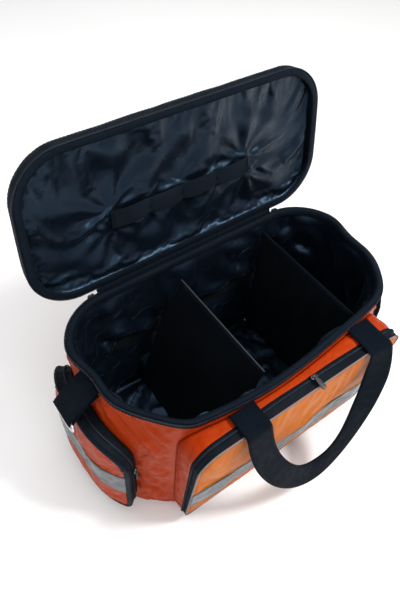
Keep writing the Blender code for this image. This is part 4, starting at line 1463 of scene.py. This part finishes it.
def slider(name, origin, t, h):
    """Two plates joined by a neck, and a bridge for the pull."""
    place = placer(origin, t, h)
    verts = []
    faces = []

    plan_pts = ((-0.0054, 0.0014), (-0.0046, 0.0030), (-0.0020, 0.0037), (0.0010, 0.0039),
                (0.0035, 0.0036), (0.0054, 0.0026))
    loop = [(p, w) for p, w in plan_pts] + [(p, -w) for p, w in plan_pts[::-1]]
    tube(verts, faces, [[place(p * f, q, w * f) for p, w in loop] for q, f in
                        ((0.0002, 0.90), (0.0005, 1.0), (0.0019, 1.0), (0.0024, 0.93),
                         (0.0026, 0.75))])
    bridge = []
    for k in range(9):
        a = math.pi * k / 8
        x = -0.0034 * math.cos(a)
        y = 0.0020 + 0.0031 * math.sin(a) ** 0.7
        under = (x * 0.82 + 0.0002, y - 0.0007)
        bridge.append([place(x - 0.0002, y, -0.0008), place(x - 0.0002, y, 0.0008),
                       place(*under, 0.0008), place(*under, -0.0008)])
    tube(verts, faces, bridge)
    return solid(name, verts, faces, GUNMETAL, sub=1)


def zip_pull(name, pivot, g, width):
    """Metal eye and a moulded grip hanging along g."""
    o = Vector(pivot)
    g = Vector(g).normalized()
    w = Vector(width).normalized()
    n = g.cross(w)
    verts = []
    faces = []
    outer = ((0.0008, 0.0), (0.0012, 0.0017), (0.0040, 0.0022), (0.0066, 0.0027), (0.0080, 0.0033),
             (0.0180, 0.0035), (0.0203, 0.0024), (0.0208, 0.0))
    loop = [(d, h) for d, h in outer] + [(d, -h) for d, h in outer[-2:0:-1]]
    middle = 0.0108
    rings = []
    for t, f in ((-1.0, 0.80), (-0.75, 1.0), (0.75, 1.0), (1.0, 0.80)):
        rings.append([])
        for d, h in loop:
            thick = 0.0006 if d < 0.0066 else 0.0010
            reach = middle + (d - middle) * (1 - (1 - f) * 0.25)
            rings[-1].append(o + g * reach + w * h * f + n * thick * t)
    tube(verts, faces, rings)
    for s in (-1, 1):
        for r in range(4):
            d = 0.0095 + r * 0.0022
            b = len(verts)
            for dd, up in ((0.0, 0.0), (0.0005, 0.00035), (0.0010, 0.0)):
                for h in (-0.0026, 0.0026):
                    verts.append(o + g * (d + dd) + w * h + n * s * (0.00095 + up))
            for dd in (0.0010, 0.0):
                for h in (-0.0026, 0.0026):
                    verts.append(o + g * (d + dd) + w * h + n * s * 0.0006)
            faces += [(b, b + 1, b + 3, b + 2), (b + 2, b + 3, b + 5, b + 4),
                      (b + 4, b + 5, b + 7, b + 6), (b + 6, b + 7, b + 9, b + 8),
                      (b + 8, b + 9, b + 1, b), (b, b + 2, b + 4, b + 6, b + 8),
                      (b + 1, b + 9, b + 7, b + 5, b + 3)]
    return solid(name, verts, faces, PULL)


PULL_UP = 0.0038


def zips():
    seat = POCKET_Z1 + 0.0021
    y = float(on_front(HANDLE_X, seat, FRONT_ZIP_Y)[1])
    give(slider("front_pocket_slider_metal", (HANDLE_X, y, seat), (1, 0, 0), (0, 0, 1)),
         "front_pocket_slider", "steel", "front_pocket_slider")
    tilt = math.radians(6.0)
    give(zip_pull("front_pocket_pull_grip", (HANDLE_X, y, seat + PULL_UP),
                  (0, -math.cos(tilt), -math.sin(tilt)), (1, 0, 0)),
         "front_pocket_pull", "pull_plastic", "front_pocket_pull")
    for side, sx in (("left", 1.0), ("right", -1.0)):
        flip = Matrix.Scale(sx, 4, (1, 0, 0))
        z = 0.138
        a = Vector(on_end(END_S + 0.0025, z, END_ZIP_DEPTH))
        b = Vector(on_end(END_S + 0.0060, z, END_ZIP_DEPTH))
        out = (b - a).normalized()
        across = Vector((0, 0, 1)).cross(out)
        name = "end_pocket_" + side
        give(slider(name + "_slider_metal", flip @ a, (0, 0, 1), flip @ out),
             name + "_slider", "steel", name + "_slider")
        give(zip_pull(name + "_pull_grip", flip @ (a + out * PULL_UP), (0, 0, -1), flip @ across),
             name + "_pull", "pull_plastic", name + "_pull")
        t = math.radians(8.0)
        out = Vector((-math.sin(t), math.cos(t), 0))
        a = Vector((-(A - R), B - R, H - 0.0048)) + out * (R + 0.0040)
        along = Vector((0, 0, 1)).cross(out)
        give(slider("main_slider_" + side + "_metal", flip @ a, flip @ along, flip @ out),
             "main_slider_" + side, "steel", "main_slider_" + side)
        give(zip_pull("main_pull_" + side + "_grip", flip @ (a + out * PULL_UP), (0, 0, -1),
                      flip @ along),
             "main_pull_" + side, "pull_plastic", "main_pull_" + side)


def curve_through(pts, n):
    """Smooth open curve through points (Catmull-Rom), n samples at even steps."""
    p = np.asarray(pts, float)
    q = np.vstack([2 * p[0] - p[1], p, 2 * p[-1] - p[-2]])
    out = []
    for i in range(1, len(q) - 2):
        for t in np.linspace(0, 1, 16, endpoint=False):
            a, b, c, d = q[i - 1:i + 3]
            out.append(0.5 * (2 * b + (c - a) * t + (2 * a - 5 * b + 4 * c - d) * t * t
                              + (3 * b - a - 3 * c + d) * t ** 3))
    out.append(p[-1])
    s = arc(out)
    return along(out, s, np.linspace(0.0, s[-1], n))


def strap_section(half, t, cols=9):
    """Flat webbing with rounded edges."""
    return [(half * x * side, side * t / 2 * (1.0 if abs(x) < 0.95 else 0.55))
            for side in (1, -1) for x in np.linspace(-1, 1, cols)]


RING_OFF = 0.0335
RING_Z = 0.2040
RING_HALF = 0.0205


def d_rings():
    r = 0.0034
    slope = math.atan2(-0.0330, 0.0290)
    pts = [(0.0016, 0.2420), (0.0065, 0.2388), (0.0180, 0.2260)]
    for k in range(9):
        t = slope + math.pi / 2 - math.pi * k / 8
        pts.append((RING_OFF + r * math.cos(t), RING_Z + r * math.sin(t)))
    pts += [(0.0165, 0.2205), (0.0095, 0.2285), (0.0016, 0.2345)]
    c = curve_through(pts, 60)
    wall = np.c_[np.full(len(c), -A), np.zeros(len(c)), c[:, 1]]
    sunk = (settle(wall) - wall)[:, 0] * (1 - smooth_in(c[:, 0], 0.004, 0.020))
    c[:, 0] -= sunk
    path = np.c_[-A - c[:, 0], np.zeros(len(c)), c[:, 1]]
    sides = frames_along(path, (0.0, 1.0, 0.0))
    sides = [((0.0, 1.0, 0.0), s[0]) for s in sides]
    obj = sweep("d_ring_tab_left_webbing", path, sides, strap_section(RING_HALF, 0.0013), WEBBING)
    give_pair(obj, "bag", "webbing", "d_ring_tab_left")
    seg = c[4:20]
    lines = []
    norms = []
    nrm = outward(seg)
    for y0, y1 in ((-0.016, -0.016), (0.016, 0.016), (-0.016, 0.016), (0.016, -0.016)):
        y = np.linspace(y0, y1, len(seg))
        q = seg + nrm * 0.0009
        lines.append(np.c_[-A - q[:, 0], y, q[:, 1]])
        norms.append(np.c_[-nrm[:, 0], np.zeros(len(seg)), nrm[:, 1]])
    obj = thread("d_ring_tab_left_stitches", lines, norms, GREY_THREAD, length=0.0024)
    give_pair(obj, "bag", "webbing")
    half = RING_HALF + 0.0015
    loop = [(half * (k / 4 - 1), 0.0) for k in range(9)] + [(half + 0.0020, -0.0008)]
    for k in range(1, 20):
        t = math.pi * k / 20
        loop.append(((half + 0.0025) * math.cos(t), -0.0020 - 0.0240 * math.sin(t)))
    loop.append((-half - 0.0020, -0.0008))
    loop = np.array(loop)
    path = np.c_[np.full(len(loop), -A - RING_OFF), loop[:, 0], RING_Z + loop[:, 1]]
    obj = sweep("d_ring_left_metal", path, frames_along(path, (1.0, 0.0, 0.0), True),
                circle(0.0019, 12), STEEL, closed=True, sub=1)
    give_pair(obj, "d_ring_left", "steel", "d_ring_left")


# ---------------------------------------------------------------- carry handles
HANDLE_TWIST = 0.45
HANDLE_NARROW = 0.16


def handle(side):
    """One length of webbing: sewn root, loop, sewn root."""
    front = side == "front"
    y0, z0 = FRONT_PIVOT if front else BACK_PIVOT
    hang = FRONT_HANG if front else BACK_HANG
    out = -1.0 if front else 1.0
    down = np.array((0.0, out * math.sin(hang), -math.cos(hang)))
    centre = []
    wide = []
    for k in range(97):
        t = math.pi * k / 96
        near = 1 - (HANDLE_NARROW if front else 0.0) * math.sin(t) ** 2
        p = HANDLE_X - HANDLE_HALF * math.cos(t) * near
        q = HANDLE_DROP * math.sin(t)
        d = np.array((HANDLE_HALF * math.sin(t) * near, HANDLE_DROP * math.cos(t)))
        d /= np.linalg.norm(d)
        centre.append(np.array((p, y0, z0)) + down * q)
        wide.append(np.array((-d[1], 0.0, 0.0)) + down * d[0])
    root = []
    for sx in (-1.0, 1.0):
        x = HANDLE_X + sx * HANDLE_HALF
        if front:
            wall = float(settle([[x, front_wall(x), 0.2390]])[0, 1]) - 0.0016
            pts = [(wall, 0.2390), (wall - 0.0045, 0.2374), (-0.1480, 0.2366), (-0.1560, 0.2365),
                   (-0.1615, 0.2363), (-0.1650, 0.2356)]
        else:
            pts = [(B + 0.0030, 0.2432), (B + 0.0016, 0.2350), (B + 0.0016, 0.2200),
                   (B + 0.0026, 0.2110)]
        c = curve_through(pts, 18)
        root.append(np.c_[np.full(len(c), x), c])
    first = list(root[0])
    last = list(root[1])[::-1]
    path = np.array(first + centre[1:-1] + last)
    w = np.array([(-1.0, 0.0, 0.0)] * len(first) + wide[1:-1] + [(1.0, 0.0, 0.0)] * len(last))
    s = arc(path)
    at = np.linspace(0.0, s[-1], 260)
    path, w = along(path, s, at), along(w, s, at)
    for _ in range(3):
        path[1:-1] = (path[:-2] + 2 * path[1:-1] + path[2:]) / 4
    d = unit(np.gradient(path, axis=0))
    w = unit(w - d * np.einsum("ij,ij->i", w, d)[:, None])
    n = np.cross(w, d)
    share = at / at[-1]
    mid = np.sin(math.pi * share) ** 2
    roll = (0.12 * np.sin(at * 9.0 + 0.6) + 0.10 * np.sin(at * 31.0)) * mid
    roll += HANDLE_TWIST * smooth_in(share, 0.52, 0.74) * (1 - smooth_in(share, 0.80, 0.95))
    lift = (0.0022 * np.sin(at * 17.0) + 0.0010 * np.sin(at * 43.0 + 1.0)) * mid
    w2 = w * np.cos(roll)[:, None] + n * np.sin(roll)[:, None]
    n2 = n * np.cos(roll)[:, None] - w * np.sin(roll)[:, None]
    path = path + n * lift[:, None]
    section = strap_section(WEB / 2, WEB_T, 11)
    obj = sweep("handle_" + side + "_webbing", path, list(zip(w2, n2)), section, WEBBING)
    co = read(obj).reshape(len(path), len(section), 3)
    u = np.array([a for a, b in section])
    cup = 0.0009 * (u / (WEB / 2)) ** 2 * np.sin(at * 12.0 + 2.0)[:, None] * mid[:, None]
    co += n2[:, None, :] * cup[:, :, None]
    write(obj, co.reshape(-1, 3))
    name = "handle_" + side
    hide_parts(name, name + "_strap_left", name + "_strap_right")
    lines = []
    norms = []
    for off in (-0.0150, 0.0150):
        for up in (n2, -n2):
            lines.append((path + w2 * off + up * (WEB_T / 2 + 0.0001))[2:-2])
            norms.append(up[2:-2])
    st = thread("handle_" + side + "_stitches", lines, norms, BLACK_THREAD)
    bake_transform(obj)
    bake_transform(st)


# ---------------------------------------------------------------- stage, light and camera
def stage():
    verts = [(-3, -3, 0), (3, -3, 0), (3, 3, 0), (-3, 3, 0)]
    floor = solid("floor", verts, [(0, 1, 2, 3)], floor_material(), smooth=False)
    floor.location.z = -0.0003
    world = bpy.data.worlds.new("studio")
    bpy.context.scene.world = world
    world.use_nodes = True
    back = world.node_tree.nodes["Background"]
    back.inputs[0].default_value = (1.0, 1.0, 1.0, 1)
    back.inputs[1].default_value = 0.56
    for name, place, aim, size, power, tint in (
            ("key", (0.75, -0.75, 1.90), (0.0, 0.0, 0.15), (0.35, 0.35), 33.0, (1.0, 0.99, 0.97)),
            ("top", (-0.10, 0.0, 2.40), (0.0, 0.0, 0.0), (2.2, 2.2), 20.0, (1.0, 1.0, 1.0)),
            ("front", (-0.40, -1.50, 1.35), (0.0, 0.05, 0.15), (1.0, 0.6), 8.0, (1.0, 0.99, 0.98)),
            ("back", (-0.5, 0.9, 1.5), (0.0, 0.0, 0.25), (0.9, 0.7), 3.0, (0.90, 0.96, 1.0))):
        light = bpy.data.lights.new(name, "AREA")
        light.shape = "RECTANGLE"
        light.size, light.size_y = size
        light.energy = power
        light.color = tint
        obj = bpy.data.objects.new(name, light)
        obj.location = place
        obj.rotation_mode = "QUATERNION"
        aim_at = Vector(aim) - Vector(place)
        obj.rotation_quaternion = aim_at.to_track_quat("-Z", "Y")
        bpy.context.scene.collection.objects.link(obj)


def floor_material():
    m = Mat("pale_floor", rough=0.7, spec=0.2)
    cloud = m.noise(2.0, 3.0)
    m.colour(m.ramp(cloud, ((0.3, (0.93, 0.93, 0.93)), (0.7, (0.95, 0.95, 0.95)))))
    return m.mat


CAMERA_AZ = math.radians(-40.08)
CAMERA_EL = math.radians(50.56)
CAMERA_ROLL = math.radians(5.40)
CAMERA_DISTANCE = 0.6801
CAMERA_AIM = Vector((-0.0632, 0.0, 0.2884))
CAMERA_LENS = 32.516


def camera():
    az, el, roll = CAMERA_AZ, CAMERA_EL, CAMERA_ROLL
    back = Vector((math.sin(az) * math.cos(el), -math.cos(az) * math.cos(el), math.sin(el)))
    right = Vector((math.cos(az), math.sin(az), 0.0))
    up = back.cross(right)
    r = right * math.cos(roll) + up * math.sin(roll)
    u = up * math.cos(roll) - right * math.sin(roll)
    data = bpy.data.cameras.new("camera")
    data.lens = CAMERA_LENS
    data.sensor_width = 36.0
    data.sensor_fit = "AUTO"
    obj = bpy.data.objects.new("camera", data)
    turn = Matrix((r, u, back)).transposed()
    obj.matrix_world = Matrix.Translation(CAMERA_AIM + back * CAMERA_DISTANCE) @ turn.to_4x4()
    bpy.context.scene.collection.objects.link(obj)
    bpy.context.scene.camera = obj
    bpy.context.scene.view_settings.view_transform = "Standard"


camera()
stage()
body_shell()
body_lining()
base_cover()
rim()
rim_zip()
loop_strips()
hinge_web()
lid_cover()
lid_lining()
lid_binding()
lid_zip()
lid_elastic()
divider("left", LEFT_TOP_X, LEFT_LEAN, 0.013, DIVIDER_EDGE, "grey_edging", 51.0)
# the right divider's top edge takes black binding where the left has grey piping: painted shade, as
# the right bay lies in shadow
divider("right", RIGHT_X, 0.0, 0.0, BINDING, "black_trim", 57.0)
front_pocket()
end_pockets()
zips()
d_rings()
handle("front")
handle("back")
